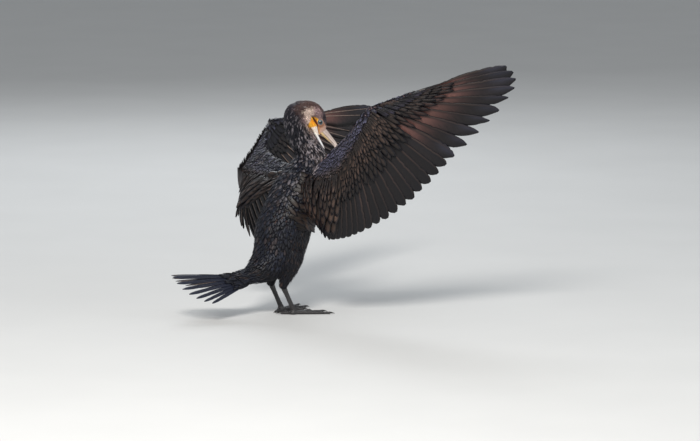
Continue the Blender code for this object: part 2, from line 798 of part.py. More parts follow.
def build_leg(name, side, collection, materials, torso):
    """A thigh, a tarsus and a webbed foot."""
    mirror = np.array((1, side, 1))
    thigh = add_object(f"thigh_{name}", build_thigh(mirror), collection, materials["plumage"])
    cut_clear(thigh, [torso])
    tarsus = add_object(f"tarsus_{name}", build_tarsus(mirror), collection, materials["skin"])
    base = np.array(TARSUS_FOOT) * mirror
    foot = add_object(f"foot_{name}", sole_mesh(base), collection, materials["skin"])
    pieces = new_collection("toes")
    corner = base * np.array((1, 1, 0))
    ends = []
    for angle, length in TOES.values():
        turn = math.radians(angle + FOOT_YAW) * side
        way = np.array((math.cos(turn), math.sin(turn), 0.0))
        toe = toe_rings(corner, way, length, TOE_RADIUS, TOE_RADIUS * TOE_END_SHARE)
        add_object("toe", loft_mesh(toe), pieces)
        add_object("claw", claw_mesh(corner + way * length, way), pieces)
        ends.append(corner + way * length * 0.97)
    for near, far in zip(ends, ends[1:]):
        add_object("web", web_mesh(corner, near, far), pieces)
    fuse(foot, pieces)
    cut_clear(tarsus, [thigh, foot])


def centre_on_floor(collection):
    """Move every part so that the middle of the whole bird's box is over the origin."""
    corners = [vert.co for obj in collection.objects for vert in obj.data.vertices]
    low = [min(corner[k] for corner in corners) for k in range(3)]
    high = [max(corner[k] for corner in corners) for k in range(3)]
    shift = Vector((-(low[0] + high[0]) / 2, -(low[1] + high[1]) / 2, -low[2]))
    for obj in collection.objects:
        obj.data.transform(Matrix.Translation(shift))
        middle = sum((vert.co for vert in obj.data.vertices), Vector()) / len(obj.data.vertices)
        obj.data.transform(Matrix.Translation(-middle))
        obj.location = middle


def build():
    clear_scene()
    collection = new_collection("cormorant")
    materials = {name: make_material(name) for name in COLOURS}
    torso = build_torso(collection, materials["plumage"])
    neck = build_neck(collection, materials["plumage"])
    head = build_head(collection, materials["plumage"], materials["eye"], materials["bill"])
    cut_clear(neck, [head])
    for name, wing in WINGS.items():
        build_wing(name, wing, collection, materials["vanes"], [torso, neck])
    build_tail(collection, materials["vanes"], torso)
    for name, side in (("left", 1), ("right", -1)):
        build_leg(name, side, collection, materials, torso)
    centre_on_floor(collection)


build()
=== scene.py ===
"""The looks of a great cormorant drying its wings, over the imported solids.

Lengths are in millimetres in the bird's own frame, with +X the way it faces,
+Y its left and +Z up, until a mesh is made from them in metres. Colours are
linear. Every feather is a thin closed vane, made in arrays of many at once.
"""
import itertools
import math

import bmesh
import bpy
import numpy as np
from mathutils import Matrix, Vector
from mathutils.bvhtree import BVHTree


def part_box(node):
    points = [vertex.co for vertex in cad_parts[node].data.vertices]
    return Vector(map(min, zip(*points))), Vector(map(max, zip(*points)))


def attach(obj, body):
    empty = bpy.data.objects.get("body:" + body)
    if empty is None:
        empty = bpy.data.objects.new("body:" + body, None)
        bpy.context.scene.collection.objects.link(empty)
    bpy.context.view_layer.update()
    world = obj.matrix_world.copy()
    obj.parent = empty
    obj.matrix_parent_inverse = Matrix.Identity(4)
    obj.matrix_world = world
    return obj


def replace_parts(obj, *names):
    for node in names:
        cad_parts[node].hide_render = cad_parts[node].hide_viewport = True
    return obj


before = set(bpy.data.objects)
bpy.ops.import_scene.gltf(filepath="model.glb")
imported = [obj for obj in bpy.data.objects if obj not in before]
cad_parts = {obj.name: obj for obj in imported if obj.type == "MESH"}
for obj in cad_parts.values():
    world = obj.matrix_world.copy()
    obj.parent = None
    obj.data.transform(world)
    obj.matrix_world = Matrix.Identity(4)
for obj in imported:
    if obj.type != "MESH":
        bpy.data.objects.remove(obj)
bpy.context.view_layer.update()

MM = 0.001
FORWARD, LEFT, UP = np.identity(3)
SIDES = {"left": 1, "right": -1}
DENSITY = 1.0      # share of the small feathers that are made
rng = np.random.default_rng(11)

# Torso: centre x and z of each section, half width, half depth and slope of the
# axis in degrees. The neck's rows add how far each lies to the bird's right
TORSO = [(-112, 91, 24, 19, 22), (-101, 95, 31, 26, 28), (-79, 103, 42, 35, 38), (-53, 118, 52, 49, 52),
         (-33, 147, 58, 62, 63), (-22, 185, 62, 67, 70), (0, 237, 63, 63, 68), (24, 290, 59, 55, 63),
         (43, 322, 49, 47, 66), (50, 337, 43, 42, 72)]
NECK = [(50, 337, 43, 42, 72, 0), (54, 355, 37, 37, 88, 0), (47, 376, 33, 34, 110, 0),
        (31, 398, 31, 33, 116, 1), (18, 421, 30, 34, 98, 4), (11, 444, 29, 34, 86, 9),
        (14, 463, 27, 32, 56, 14), (27, 474, 17, 17, 32, 19)]
HEAD_AT = np.array((53.6, -41.2, 441.9))   # midway between the eyes
HEAD_YAW, HEAD_PITCH = -29.7, 52.2
# The skull and jaw in the head's own frame: x, top, bottom and half width
SKULL = [(-68, -12, -20, 4), (-63, -4, -29, 14), (-53, 9, -32, 21), (-40, 18.5, -30, 24.5),
         (-29, 22.3, -25, 24), (-22, 22.6, -13, 23), (-15, 22.3, -8, 21), (-4, 19.5, -9, 18),
         (8, 13, -13, 13.5), (16, 6.5, -16, 10.5), (22, 1, -18, 8.5)]
JAW = [(-46, -10, -24, 12), (-38, -5, -28, 18), (-26, -4, -29.5, 22), (-18, -8.3, -29.2, 20.5),
       (-10, -11.5, -28.5, 17), (2, -15.5, -27.8, 12), (14, -19.8, -28, 8)]
LOWER_BILL = [(14, -19.8, -28, 7.6), (28, -23, -29.6, 5.8), (42, -26, -31, 4.2),
              (52, -28.2, -31.6, 2.8), (56, -29.8, -31.2, 1.0)]
# The upper bill: x, middle z, half depth, half width and slope
UPPER_BILL = [(22, -8.5, 9.3, 8.2, 0), (34, -7.6, 7.6, 6.3, 2), (48, -6.4, 6.2, 5.0, 3),
              (60, -5.6, 5.0, 4.3, -2), (67, -6.2, 4.4, 3.8, -16), (71.2, -8.8, 3.7, 3.0, -52),
              (73, -12.3, 2.4, 1.9, -78), (73, -15.6, 0.6, 0.6, -95)]
UPPER_STRAIGHT = UPPER_BILL[:5]            # the bill's rows before its hook
BILL_ROOT = (0.80, 0.88, 0.94, 0.98)       # sizes of the bill's first rings, under the skin
BILL_SINK = 4.0                            # how far back the first of them is set
NOSTRIL_GROOVE = 0.9
EYE_RADIUS, EYE_OFFSET = 7.4, 12.0
# Centre x, y and z of each section of the left thigh, and its radius
THIGH = [(-18, 38, 150, 27), (-22, 37, 126, 26), (-29, 33, 99, 20), (-35, 29, 78, 14), (-39, 27, 63, 9)]
TARSUS_TOP, TARSUS_FOOT = np.array((-37, 27, 66.0)), np.array((-10, 28, 9.0))
TARSUS_HALF_WIDTH, TARSUS_HALF_DEPTH = 4.3, 5.8
TARSUS_SIZES = [(0, 1.15), (0.15, 1.1), (0.3, 0.95), (0.6, 0.9), (0.85, 1.0), (1, 1.15)]
SCUTE_DEPTH = 0.22
# Each toe's angle from straight ahead, outwards, and its length
TOES = {"outer": (24, 84), "middle": (2, 74), "inner": (-24, 54), "hind": (-152, 30)}
FOOT_YAW, TOE_RADIUS = 6.0, 4.4
HEEL = [(0.05, 7.5), (2, 8.4), (5, 8.0), (8, 6.6), (11, 5.4), (14, 4.8)]     # height and radius
CLAW_LENGTH, CLAW_START = 10.5, -0.3
CLAW_SIZES = [(CLAW_START, 2.2), (0.15, 1.9), (0.6, 1.1), (1, 0.3)]
WEB_HALF, WEB_BAY = 0.45, 0.55

# Each wing for the left side: its joints, then the tips of its feathers and the way
# their upper side faces, by the number of the feather from the outermost primary
WINGS = {
    "right": {
        "side": -1, "front": (38, 50, 342), "shoulder": (11.5, 40, 308), "elbow": (0, 203.5, 336),
        "wrist": (62.6, 243, 486.5), "finger": (137, 297, 526), "slack": 6.0, "camber": 12.0,
        "tips": [(0, (308, 424, 589)), (1.5, (326, 433, 568)), (3, (327, 428, 538)), (5, (304, 399, 485)),
                 (9, (236, 324, 378)), (15, (153, 249, 266)), (20, (78, 184, 202)), (26, (29, 122, 180)),
                 (30, (20, 86, 204))],
        "faces": [(0, (-0.55, 0.83, -0.12)), (9, (-0.54, 0.84, -0.05)), (22, (-0.55, 0.83, 0.0)),
                  (27, (-0.75, 0.65, 0.05)), (30, (-0.93, 0.35, 0.1))],
    },
    "left": {
        "side": 1, "front": (34, 50, 336), "shoulder": (11.5, 40, 308), "elbow": (-12, 213, 305),
        "wrist": (108, 266, 408), "finger": (204, 291, 411), "slack": 34.0, "camber": 10.0,
        "tips": [(0, (446, 348, 413)), (1.5, (442, 350, 385)), (3, (425, 345, 350)), (5, (388, 330, 315)),
                 (9, (303, 282, 277)), (15, (190, 236, 210)), (20, (95, 205, 160)), (25, (20, 178, 136)),
                 (28, (-56, 152, 206)), (30, (-52, 112, 232))],
        "faces": [(0, (-0.29, 0.957, 0.0)), (9, (-0.33, 0.945, 0.0)), (20, (-0.45, 0.89, 0.05)),
                  (26, (-0.85, 0.5, 0.1)), (30, (-0.97, 0.2, 0.12))],
    },
}
PRIMARIES, SECONDARIES, TERTIALS = 10, 16, 5
WING_FEATHERS = PRIMARIES + SECONDARIES + TERTIALS
ALULA_FEATHERS = 4
BONE_HALF, EDGE_HALF = 11.0, 4.0           # half the thickness of a wing's flesh
EDGE_TAPER = 12                            # how fast its front edge thins to nothing
LEAST_HALF = 0.3
ROOT_MARGIN, LEADING_MARGIN = 13.0, 9.0    # flesh behind and before the bones
WING_SECTION = [(0.0, 0.0), (0.10, 0.75), (0.25, 1.0), (0.6, 0.55), (0.92, 0.4), (1.0, 0.0)]
FINGER_SHARE = 0.65                        # size of the hand at its tip
ELBOW_ROUNDING, ELBOW_SPREAD = 3.0, 0.7
VANE_TILT = 1.25                           # how much lower a vane lies for each feather further in
LAID_SHARE = 0.8                           # a covert bent back on itself more than this is left out

TAIL_ROOT = np.array((-111, 0, 95.0))
TAIL_AIM = (-0.956, 0.292, 0.055)
# The tail's flesh: how far along it each section is, half width and half depth
TAIL_CORE = [(-18, 25, 19), (0, 25, 20), (16, 24, 17), (34, 20, 11), (50, 13, 5)]
TAIL_FEATHERS, TAIL_LENGTH, TAIL_OUTER_SHARE = 14, 182.0, 0.66
TAIL_SPREAD, TAIL_SLOPE, TAIL_BASE_HALF, TAIL_ROLL, TAIL_STEP = 35.0, 36.0, 17.0, 6.0, 1.1
# Rows of tail coverts: lift, share of the tail's length at the root and tip, count and width
TAIL_COVERTS = [(2.2, 0.02, 0.36, 20, 11.0), (4.4, 0.0, 0.28, 22, 10.0), (6.8, -0.04, 0.2, 22, 9.0),
                (-2.2, 0.02, 0.34, 20, 11.0), (-4.6, 0.0, 0.26, 22, 10.0), (-7.0, -0.04, 0.18, 22, 9.0)]

# Plumage colours
BLACK = np.array((0.006, 0.0065, 0.010))
BLUE_BLACK = np.array((0.010, 0.013, 0.024))
BROWN = np.array((0.040, 0.026, 0.021))
WARM_BROWN = np.array((0.085, 0.048, 0.036))
PURPLE = np.array((0.026, 0.021, 0.040))
STEEL = np.array((0.085, 0.088, 0.135))
BRONZE = np.array((0.098, 0.060, 0.044))
TAIL_BLUE = np.array((0.012, 0.017, 0.036))
RUST = np.array((0.105, 0.048, 0.040))
THUMB = np.array((0.17, 0.105, 0.085))
SILVER = np.array((0.36, 0.33, 0.36))
BUFF = np.array((0.40, 0.29, 0.22))
CREAM = np.array((0.76, 0.59, 0.49))
CROWN = np.array((0.080, 0.042, 0.036))
NAPE = np.array((0.018, 0.013, 0.021))
SIDE = np.array((0.33, 0.225, 0.225))
WING_PAINTED_SHADE = {"right": 1.0, "left": 0.6}    # painted shade: the far wing is made the darker one
# Bare skin of the face
YELLOW = np.array((0.86, 0.45, 0.04))
ORANGE = np.array((0.50, 0.25, 0.15))
HORN = np.array((0.82, 0.77, 0.70))
MOUTH = np.array((0.085, 0.008, 0.008))
DUSKY = np.array((0.50, 0.40, 0.36))
LID = np.array((0.10, 0.125, 0.15))
# The bill
UPPER_ROOT, UPPER_TIP = np.array((0.66, 0.54, 0.50)), np.array((0.80, 0.68, 0.62))
RIDGE, GROOVE_LINE = np.array((0.16, 0.12, 0.10)), np.array((0.10, 0.06, 0.05))
CUTTING_EDGE = np.array((0.80, 0.55, 0.22))
LOWER_ROOT, LOWER_SIDE = np.array((0.92, 0.86, 0.76)), np.array((0.88, 0.88, 0.90))
LOWER_TIP = np.array((0.55, 0.50, 0.46))

# Zones of the face in the head's own x and z: the gape's slit as x, its middle
# and half height, and the lowest z of bare skin
SLIT = [(-23.5, -6.8, 0.2), (-18, -7.0, 1.3), (-9.5, -7.9, 2.5), (-3, -8.4, 2.0), (2, -9.2, 1.3),
        (8, -13.0, 0.8), (20, -19.3, 0.5)]
SLIT_DEPTH, FOLD_DEPTH = 3.2, 0.22
BARE_BOTTOM, BARE_FRONT, BARE_BACK, BARE_SIDE = -28.4, 24.0, -30, 25
CHEEK_TOP = [(-20, -5), (-10, 1.6), (-3, -1.5)]
# Flesh that joins the jaws beside the slit: x, top, bottom and half width
GAPE = [(-27, -3, -13, 17.5), (-18, -3, -14, 19.4), (-9, -3, -15, 17.4), (0, -6, -19, 13.6),
        (10, -9, -23, 10.0), (18, -12, -24, 7.8), (23, -14.5, -23, 6.4)]

# Places along the body, from 0 at the bill to 1 at the tail
HEAD_COAT_END, BODY_COAT_START = 0.33, 0.32
# Where the back begins: x by z, for the colours and for the mantle's feathers
BACK_COLOUR = [(90, -60), (150, -33), (237, 0), (337, 50)]
BACK_EDGE = [(90, -75), (150, -45), (237, -12), (337, 40)]
MANTLE_START, MANTLE_END, LONG_COAT_START = 0.42, 0.90, 0.86
# How far apart small feathers stand, by the place along the body
SPACING = [(0, 1.65), (0.18, 1.85), (0.27, 2.5), (0.42, 3.65), (0.5, 4.1)]
MANTLE_SPACING = 5.6
TRIES, CLOSENESS = 3.2, 0.86               # places drawn for each feather, and how near two may be
# Sizes of the head's and the mantle's feathers, by the place along the body
HEAD_LENGTH = [(0.05, 3.4), (0.12, 4.2), (0.2, 6.5), (0.33, 10.0)]
HEAD_WIDTH = [(0.05, 1.5), (0.2, 2.3), (0.33, 3.4)]
HEAD_RISE = [(0.05, 0.5), (0.2, 1.1), (0.33, 2.2)]
MANTLE_LENGTH = [(0.42, 14), (0.6, 20), (0.9, 18)]
MANTLE_WIDTH = [(0.42, 6), (0.6, 9), (0.9, 6)]
NECK_SHARE = [(0.32, 0.8), (0.45, 1.0)]    # how much shorter body feathers are on the neck
# Clear distances: of head feathers from the eye's axis, and of body and mantle feathers
# from a wing's bones, which count beyond the shoulder's half width
EYE_CLEAR, BODY_CLEAR, MANTLE_CLEAR, SHOULDER_HALF = 8.6, 22, 30, 66
BACK_BOTTOM = 120                          # the lowest z of the back
THIGH_TOP, THIGH_BACK = 84, -60            # below this z and before this x feathers are longest
# Thickness of a vane
HEAD_VANE, BODY_VANE, COVERT_VANE, LONG_VANE, FLIGHT_VANE = 0.22, 0.25, 0.3, 0.4, 0.45

# Half width of a vane, by the share of its length
ROUND = [(0.0, 0.35), (0.3, 0.85), (0.6, 1.0), (0.85, 0.8), (1.0, 0.25)]
POINTED = [(0.0, 0.4), (0.3, 0.9), (0.55, 1.0), (0.8, 0.62), (1.0, 0.06)]
FLIGHT = [(0.0, 0.16), (0.14, 0.36), (0.35, 0.8), (0.6, 1.0), (0.82, 0.92), (0.93, 0.66), (1.0, 0.12)]
BLUNT = [(0.0, 0.16), (0.14, 0.36), (0.35, 0.8), (0.6, 1.0), (0.86, 0.96), (0.96, 0.72), (1.0, 0.22)]
STRAP = [(0.0, 0.5), (0.3, 0.9), (0.6, 1.0), (0.88, 0.9), (0.96, 0.6), (1.0, 0.12)]
BROAD = [(0.0, 0.8), (0.14, 1.0), (0.35, 0.95), (0.6, 0.85), (0.88, 0.65), (1.0, 0.12)]
BAKE_PATCH = 0.003                         # size of a small feather's patch of the bake map
CELL_SHARE = 0.9                           # how much of its cell of that map a long feather fills
UNWRAP_ANGLE, UNWRAP_MARGIN = 66, 0.001
# Voxels of the body's and the face's skin and of the foot, and rounds of smoothing
BODY_MESH, FACE_MESH, FOOT_MESH = (2.35, 6), (0.9, 5), (0.9, 2)
# The skin's ring round the eye: how far out it lies, its radius and half its thickness;
# and the lid's on it: how far out and its radius
EYE_RING, LID_RING = (15.6, 6.6, 1.9), (17.55, 5.35)
# Shafts: first and last share of the vane and sections, lift, radii and how far they sink
WING_QUILLS = ((0.08, 0.94, 26), -0.4, (1.4, 0.35), -0.6)
TAIL_QUILLS = ((0.0, 0.95, 20), 0.3, (1.2, 0.4), -0.9)

# Flight feathers: first number, width, shape and the outer web's share of the width
FLIGHT_KINDS = {"primary": (0, 40.0, FLIGHT, 0.32), "secondary": (PRIMARIES, 33.0, BLUNT, 0.36),
                "tertial": (PRIMARIES + SECONDARIES, 38.0, BROAD, 0.45)}
# Rows of coverts: first and last place, step, share of the way to the tip where
# a row starts and ends, width, lift, shape and colour
COVERTS = [
    (0.2, 8.8, 0.9, 0.02, 0.43, 18, 4.4, BROAD, RUST * 0.6),
    (0.4, 8.8, 0.7, 0.02, 0.33, 13, 6.0, ROUND, BROWN),
    (0.2, 8.8, 0.6, 0.01, 0.24, 11, 7.4, ROUND, BROWN * 1.1),
    (0.2, 8.8, 0.5, 0.01, 0.16, 9, 8.4, ROUND, PURPLE),
    (9.6, 30.0, 0.9, 0.12, 0.52, 17, 4.2, BROAD, BROWN * 0.8),
    (9.9, 30.1, 0.8, 0.14, 0.42, 13, 5.6, ROUND, BROWN),
    (9.6, 30.2, 0.75, 0.1, 0.345, 12, 7.0, ROUND, BRONZE * 0.8),
    (9.9, 30.1, 0.7, 0.06, 0.28, 11, 8.4, ROUND, BRONZE),
    (9.6, 30.2, 0.65, 0.03, 0.225, 10, 9.4, ROUND, BRONZE),
    (9.9, 30.2, 0.6, 0.02, 0.175, 9.5, 10.0, ROUND, BRONZE),
    (9.6, 30.3, 0.6, 0.01, 0.13, 9, 10.4, ROUND, BRONZE * 0.9),
    # by the shoulder
    (25.0, 31.4, 1.2, 0.45, 0.90, 24, 4.4, ROUND, BRONZE * 0.8),
    (24.6, 31.6, 1.1, 0.34, 0.77, 24, 5.6, ROUND, BRONZE),
    (24.4, 31.6, 1.0, 0.24, 0.64, 22, 6.8, ROUND, BRONZE),
    (24.2, 31.6, 0.9, 0.14, 0.51, 20, 8.2, ROUND, BRONZE),
    (24.0, 31.4, 0.7, 0.07, 0.39, 14, 9.6, ROUND, BRONZE),
    (24.0, 31.4, 0.7, 0.03, 0.28, 12, 11.0, ROUND, BRONZE),
    # under the wing
    (0.2, 8.8, 0.8, 0.0, 0.34, 18, -4.4, BROAD, BROWN * 0.7),
    (0.2, 8.8, 0.7, 0.0, 0.2, 13, -6.6, ROUND, BROWN),
    (9.7, 30.0, 0.8, 0.0, 0.38, 18, -4.4, BROAD, BROWN * 0.7),
    (9.8, 30.0, 0.7, 0.0, 0.28, 14, -6.4, ROUND, BROWN),
    (9.6, 30.0, 0.7, -0.02, 0.19, 12, -8.4, ROUND, PURPLE * 0.8),
]

MM_PER_PIXEL = 2.3
PHOTO_SIZE = (700, 441)
PHOTO_ORIGIN = (291, 312)                  # pixel of the photograph at the bird frame's origin
CAMERA_YAW, CAMERA_DOWN = 32.0, 8.0
CAMERA_DISTANCE, SENSOR = 9.0, 36.0
FLOOR_HALF, FLOOR_DROP = 40.0, 0.0005
WORLD_COLOUR, WORLD_STRENGTH = (0.80, 0.84, 0.88, 1), 0.42
# Each lamp's place, height of its target, size, power and colour
LAMPS = {"key": ((-2.2, -2.4, 3.0), 0.3, 1.1, 165, (1.0, 0.97, 0.93)),
         "fill": ((2.6, -2.6, 1.6), 0.3, 2.4, 30, (0.9, 0.95, 1.0)),
         "back": ((1.2, 3.0, 2.8), 0.4, 2.0, 60, (0.92, 0.96, 1.0))}


def smooth_rows(rows, where):
    """Rows of numbers at places between rows, on smooth curves through them."""
    rows = np.asarray(rows, float)
    last = len(rows) - 1
    where = np.clip(np.asarray(where, float), 0, last)
    k = np.minimum(where.astype(int), last - 1)
    t = (where - k)[..., None]
    before, a, b, after = rows[np.maximum(k - 1, 0)], rows[k], rows[k + 1], rows[np.minimum(k + 2, last)]
    return 0.5 * (2 * a + (b - before) * t + (2 * before - 5 * a + 4 * b - after) * t ** 2
                  + (3 * a - before - 3 * b + after) * t ** 3)


def resampled(rows, count):
    return smooth_rows(rows, np.linspace(0, len(rows) - 1, count))


def between(table, x, column=1):
    """A column of a table at x, which is its first column."""
    return np.interp(x, [row[0] for row in table], [row[column] for row in table])


def unit(v):
    v = np.asarray(v, float)
    return v / np.maximum(np.linalg.norm(v, axis=-1, keepdims=True), 1e-9)


def smoothstep(low, high, x):
    t = np.clip((np.asarray(x, float) - low) / (high - low), 0, 1)
    return t * t * (3 - 2 * t)


def mix(a, b, share):
    return np.asarray(a) + (np.asarray(b) - np.asarray(a)) * np.asarray(share)[..., None]


def turned(axis, degrees):
    return np.array(Matrix.Rotation(math.radians(degrees), 3, axis))


def turns(count):
    """Even angles once round."""
    return 2 * math.pi * np.arange(count) / count


HEAD_TURN = turned("Z", HEAD_YAW) @ turned("Y", HEAD_PITCH)
eye_corners = np.array([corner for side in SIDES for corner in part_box(f"eye_{side}")])
SHIFT = eye_corners.mean(axis=0) / MM - HEAD_AT


def on_head(points):
    """Points of the head's own frame, in the bird's."""
    return HEAD_AT + np.asarray(points, float) @ HEAD_TURN.T


def in_head(points):
    """Points of the bird's frame, in the head's own."""
    return (np.asarray(points, float) - HEAD_AT) @ HEAD_TURN


def metres(points):
    return (np.asarray(points) + SHIFT) * MM


def section(centre, side, up, half_width, half_depth, count):
    """An oval ring."""
    angle = turns(count)[:, None]
    return centre + side * half_width * np.cos(angle) + up * half_depth * np.sin(angle)


def leaning_up(slope):
    return UP * math.cos(math.radians(slope)) - FORWARD * math.sin(math.radians(slope))


def numbered(rows, count):
    return np.arange(rows * count).reshape(rows, count)


def quads_of(index):
    """Faces between the neighbours in a grid of point numbers."""
    return np.stack([index[:-1, :-1], index[:-1, 1:], index[1:, 1:], index[1:, :-1]], -1).reshape(-1, 4)


def loft(rings):
    """Points and faces of a closed surface through rings, with flat ends."""
    rings = np.asarray(rings, float)
    index = numbered(*rings.shape[:2])
    faces = quads_of(np.pad(index, ((0, 0), (0, 1)), mode="wrap")).tolist()
    return rings.reshape(-1, 3), faces + [index[0][::-1].tolist(), index[-1].tolist()]


def closed_ring(rings):
    """Points and faces of a ring that meets itself, given in the head's own frame."""
    rings = np.array(rings)
    index = numbered(*rings.shape[:2])
    return on_head(rings.reshape(-1, 3)), quads_of(np.pad(index, ((0, 1), (0, 1)), mode="wrap")).tolist()


def joined(surfaces):
    """Several surfaces as one list of points and faces."""
    faces, start = [], 0
    for points, own_faces in surfaces:
        faces += [[k + start for k in face] for face in own_faces]
        start += len(points)
    return np.concatenate([points for points, _ in surfaces]), faces


def linked(name, data):
    """An object of this data, in the scene."""
    obj = bpy.data.objects.new(name, data)
    bpy.context.scene.collection.objects.link(obj)
    return obj


def new_object(name, surface, material=None):
    """A smooth mesh object from a surface in millimetres, facing outwards."""
    points, faces = surface
    mesh = bmesh.new()
    made = [mesh.verts.new(Vector(point)) for point in metres(points)]
    for face in faces:
        mesh.faces.new([made[k] for k in face])
    bmesh.ops.recalc_face_normals(mesh, faces=mesh.faces[:])
    data = bpy.data.meshes.new(name)
    mesh.to_mesh(data)
    mesh.free()
    obj = linked(name, data)
    data.shade_smooth()
    if material:
        data.materials.append(MATERIALS[material])
    return obj


def keep(obj, *nodes):
    """The object rides on the bird's one body and stands for these solids."""
    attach(obj, "root")
    if nodes:
        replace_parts(obj, *nodes)
    return obj


def remeshed(obj, voxel, smoothing):
    """One even surface round everything in the object, smoothed."""
    remesh = obj.modifiers.new("remesh", "REMESH")
    remesh.mode = "VOXEL"
    remesh.voxel_size = voxel * MM
    relax = obj.modifiers.new("relax", "SMOOTH")
    relax.factor = 0.5
    relax.iterations = smoothing
    depsgraph = bpy.context.evaluated_depsgraph_get()
    made = bpy.data.meshes.new_from_object(obj.evaluated_get(depsgraph))
    obj.modifiers.clear()
    obj.data = made
    made.shade_smooth()
    return obj


def read(items, name, width, kind=float):
    """One value of each item of a mesh, as rows of an array."""
    values = np.empty(len(items) * width, kind)
    items.foreach_get(name, values)
    return values.reshape(-1, width)


def set_colour(data, name, colour):
    """A colour for each point, with an alpha of 1 where it gives none."""
    rgba = np.ones((len(colour), 4), np.float32)
    rgba[:, :colour.shape[1]] = colour
    data.color_attributes.new(name, "FLOAT_COLOR", "POINT").data.foreach_set("color", rgba.ravel())


def set_value(data, name, values):
    layer = data.attributes.new(name, "FLOAT", "POINT")
    layer.data.foreach_set("value", values.astype(np.float32))


def set_uv(data, name, uv, corners):
    layer = data.uv_layers.new(name=name)
    layer.data.foreach_set("uv", uv[corners].astype(np.float32).ravel())


# Materials

class Shader:
    """A material's node tree, with short calls for the nodes that are used here."""

    def __init__(self, name):
        self.material = bpy.data.materials.new(name)
        self.material.use_nodes = True
        self.tree = self.material.node_tree
        self.out = self.tree.nodes["Principled BSDF"]

    def put(self, socket, value):
        if isinstance(value, bpy.types.NodeSocket):
            self.tree.links.new(value, socket)
        elif isinstance(value, tuple) and len(value) == 3 and socket.type == "RGBA":
            socket.default_value = (*value, 1.0)
        else:
            socket.default_value = value

    def node(self, kind, inputs=None, **settings):
        node = self.tree.nodes.new(kind)
        for name, value in settings.items():
            setattr(node, name, value)
        for key, value in (inputs or {}).items():
            self.put(node.inputs[key], value)
        return node

    def maths(self, operation, a, b, clamp=False):
        return self.node("ShaderNodeMath", {0: a, 1: b}, operation=operation, use_clamp=clamp).outputs[0]

    def times(self, a, b):
        return self.maths("MULTIPLY", a, b)

    def plus(self, a, b, clamp=False):
        return self.maths("ADD", a, b, clamp)

    def blend(self, share, a, b, mode="MIX"):
        inputs = {"Factor": share, 6: a, 7: b}
        return self.node("ShaderNodeMix", inputs, data_type="RGBA", blend_type=mode).outputs[2]

    def tinted(self, colour, tint):
        return self.blend(1.0, colour, tint, "MULTIPLY")

    def ramp(self, value, low, high):
        inputs = {"Value": value, "From Min": low, "From Max": high}
        return self.node("ShaderNodeMapRange", inputs, interpolation_type="SMOOTHSTEP").outputs["Result"]

    def scaled(self, value, low, high):
        """A 0 to 1 value turned into one from low to high."""
        return self.plus(self.times(value, high - low), low)

    def attribute(self, name, output="Color"):
        return self.node("ShaderNodeAttribute", attribute_name=name).outputs[output]

    def place(self):
        return self.node("ShaderNodeTexCoord").outputs["Object"]

    def vane_place(self):
        """Sockets of the place across and along a vane."""
        uv = self.node("ShaderNodeUVMap", uv_map="Vane").outputs[0]
        return self.node("ShaderNodeSeparateXYZ", {0: uv}).outputs[:2]

    def vector(self, *values):
        return self.node("ShaderNodeCombineXYZ", dict(enumerate(values))).outputs[0]

    def noise(self, scale, detail=3.0, vector=None, roughness=0.55):
        inputs = {"Vector": vector or self.place(), "Scale": scale, "Detail": detail,
                  "Roughness": roughness}
        return self.node("ShaderNodeTexNoise", inputs).outputs["Fac"]

    def cells(self, scale):
        """How far a place is from the edge of its cell."""
        inputs = {"Vector": self.place(), "Scale": scale}
        return self.node("ShaderNodeTexVoronoi", inputs, feature="DISTANCE_TO_EDGE").outputs["Distance"]

    def bump(self, height, strength, distance):
        inputs = {"Height": height, "Strength": strength, "Distance": distance}
        self.set(Normal=self.node("ShaderNodeBump", inputs).outputs["Normal"])

    def set(self, **sockets):
        for name, value in sockets.items():
            self.put(self.out.inputs[name.replace("_", " ")], value)


def feather_material(name, rough, sheen, barbs, gloss):
    """A vane: its colour and rim from the mesh, with barbs along both sides of the shaft."""
    shader = Shader(name)
    u, v = shader.vane_place()
    across = shader.times(shader.maths("ABSOLUTE", shader.maths("SUBTRACT", u, 0.5), 0.0), 2.0)
    edge = shader.plus(shader.maths("POWER", across, 3.0), shader.maths("POWER", v, 5.0), clamp=True)
    edge = shader.times(shader.ramp(edge, 0.25, 0.85), shader.attribute("Rim", "Alpha"))
    slant = shader.maths("SUBTRACT", v, shader.times(across, 0.16))
    seed = shader.attribute("Seed", "Fac")
    lines = shader.vector(shader.times(slant, barbs), shader.times(across, 1.6), seed)
    strands = shader.noise(1.0, 2.0, lines, 0.7)
    base = shader.blend(edge, shader.attribute("Colour"), shader.attribute("Rim"))
    dark, light = shader.tinted(base, (0.45, 0.45, 0.48)), shader.tinted(base, (1.65, 1.6, 1.6))
    streaked = shader.blend(shader.ramp(strands, 0.3, 0.72), dark, light)
    blotches = shader.ramp(shader.noise(38.0, 4.0), 0.35, 0.75)
    shader.set(Base_Color=shader.blend(blotches, streaked, base),
               Roughness=shader.scaled(strands, rough - 0.1, rough + 0.16), Specular_IOR_Level=gloss,
               Sheen_Weight=sheen, Sheen_Roughness=0.35, Sheen_Tint=(0.6, 0.5, 0.88))
    shader.bump(strands, 0.5, 0.0006)
    return shader.material


def skin_material():
    """The flesh under the coat, and the bare skin of the face, coloured from the mesh."""
    shader = Shader("skin")
    colour, grain, folds = shader.attribute("Colour"), shader.cells(900.0), shader.noise(160.0, 5.0)
    base = shader.blend(shader.ramp(folds, 0.3, 0.7), colour, shader.tinted(colour, (1.25, 1.15, 1.1)))
    pitted = shader.blend(shader.ramp(grain, 0.0, 0.12), shader.tinted(base, (0.72, 0.6, 0.55)), base)
    shader.set(Base_Color=pitted, Roughness=shader.scaled(folds, 0.32, 0.62))
    shader.bump(shader.plus(shader.times(grain, 1.2), folds), 0.5, 0.0005)
    return shader.material


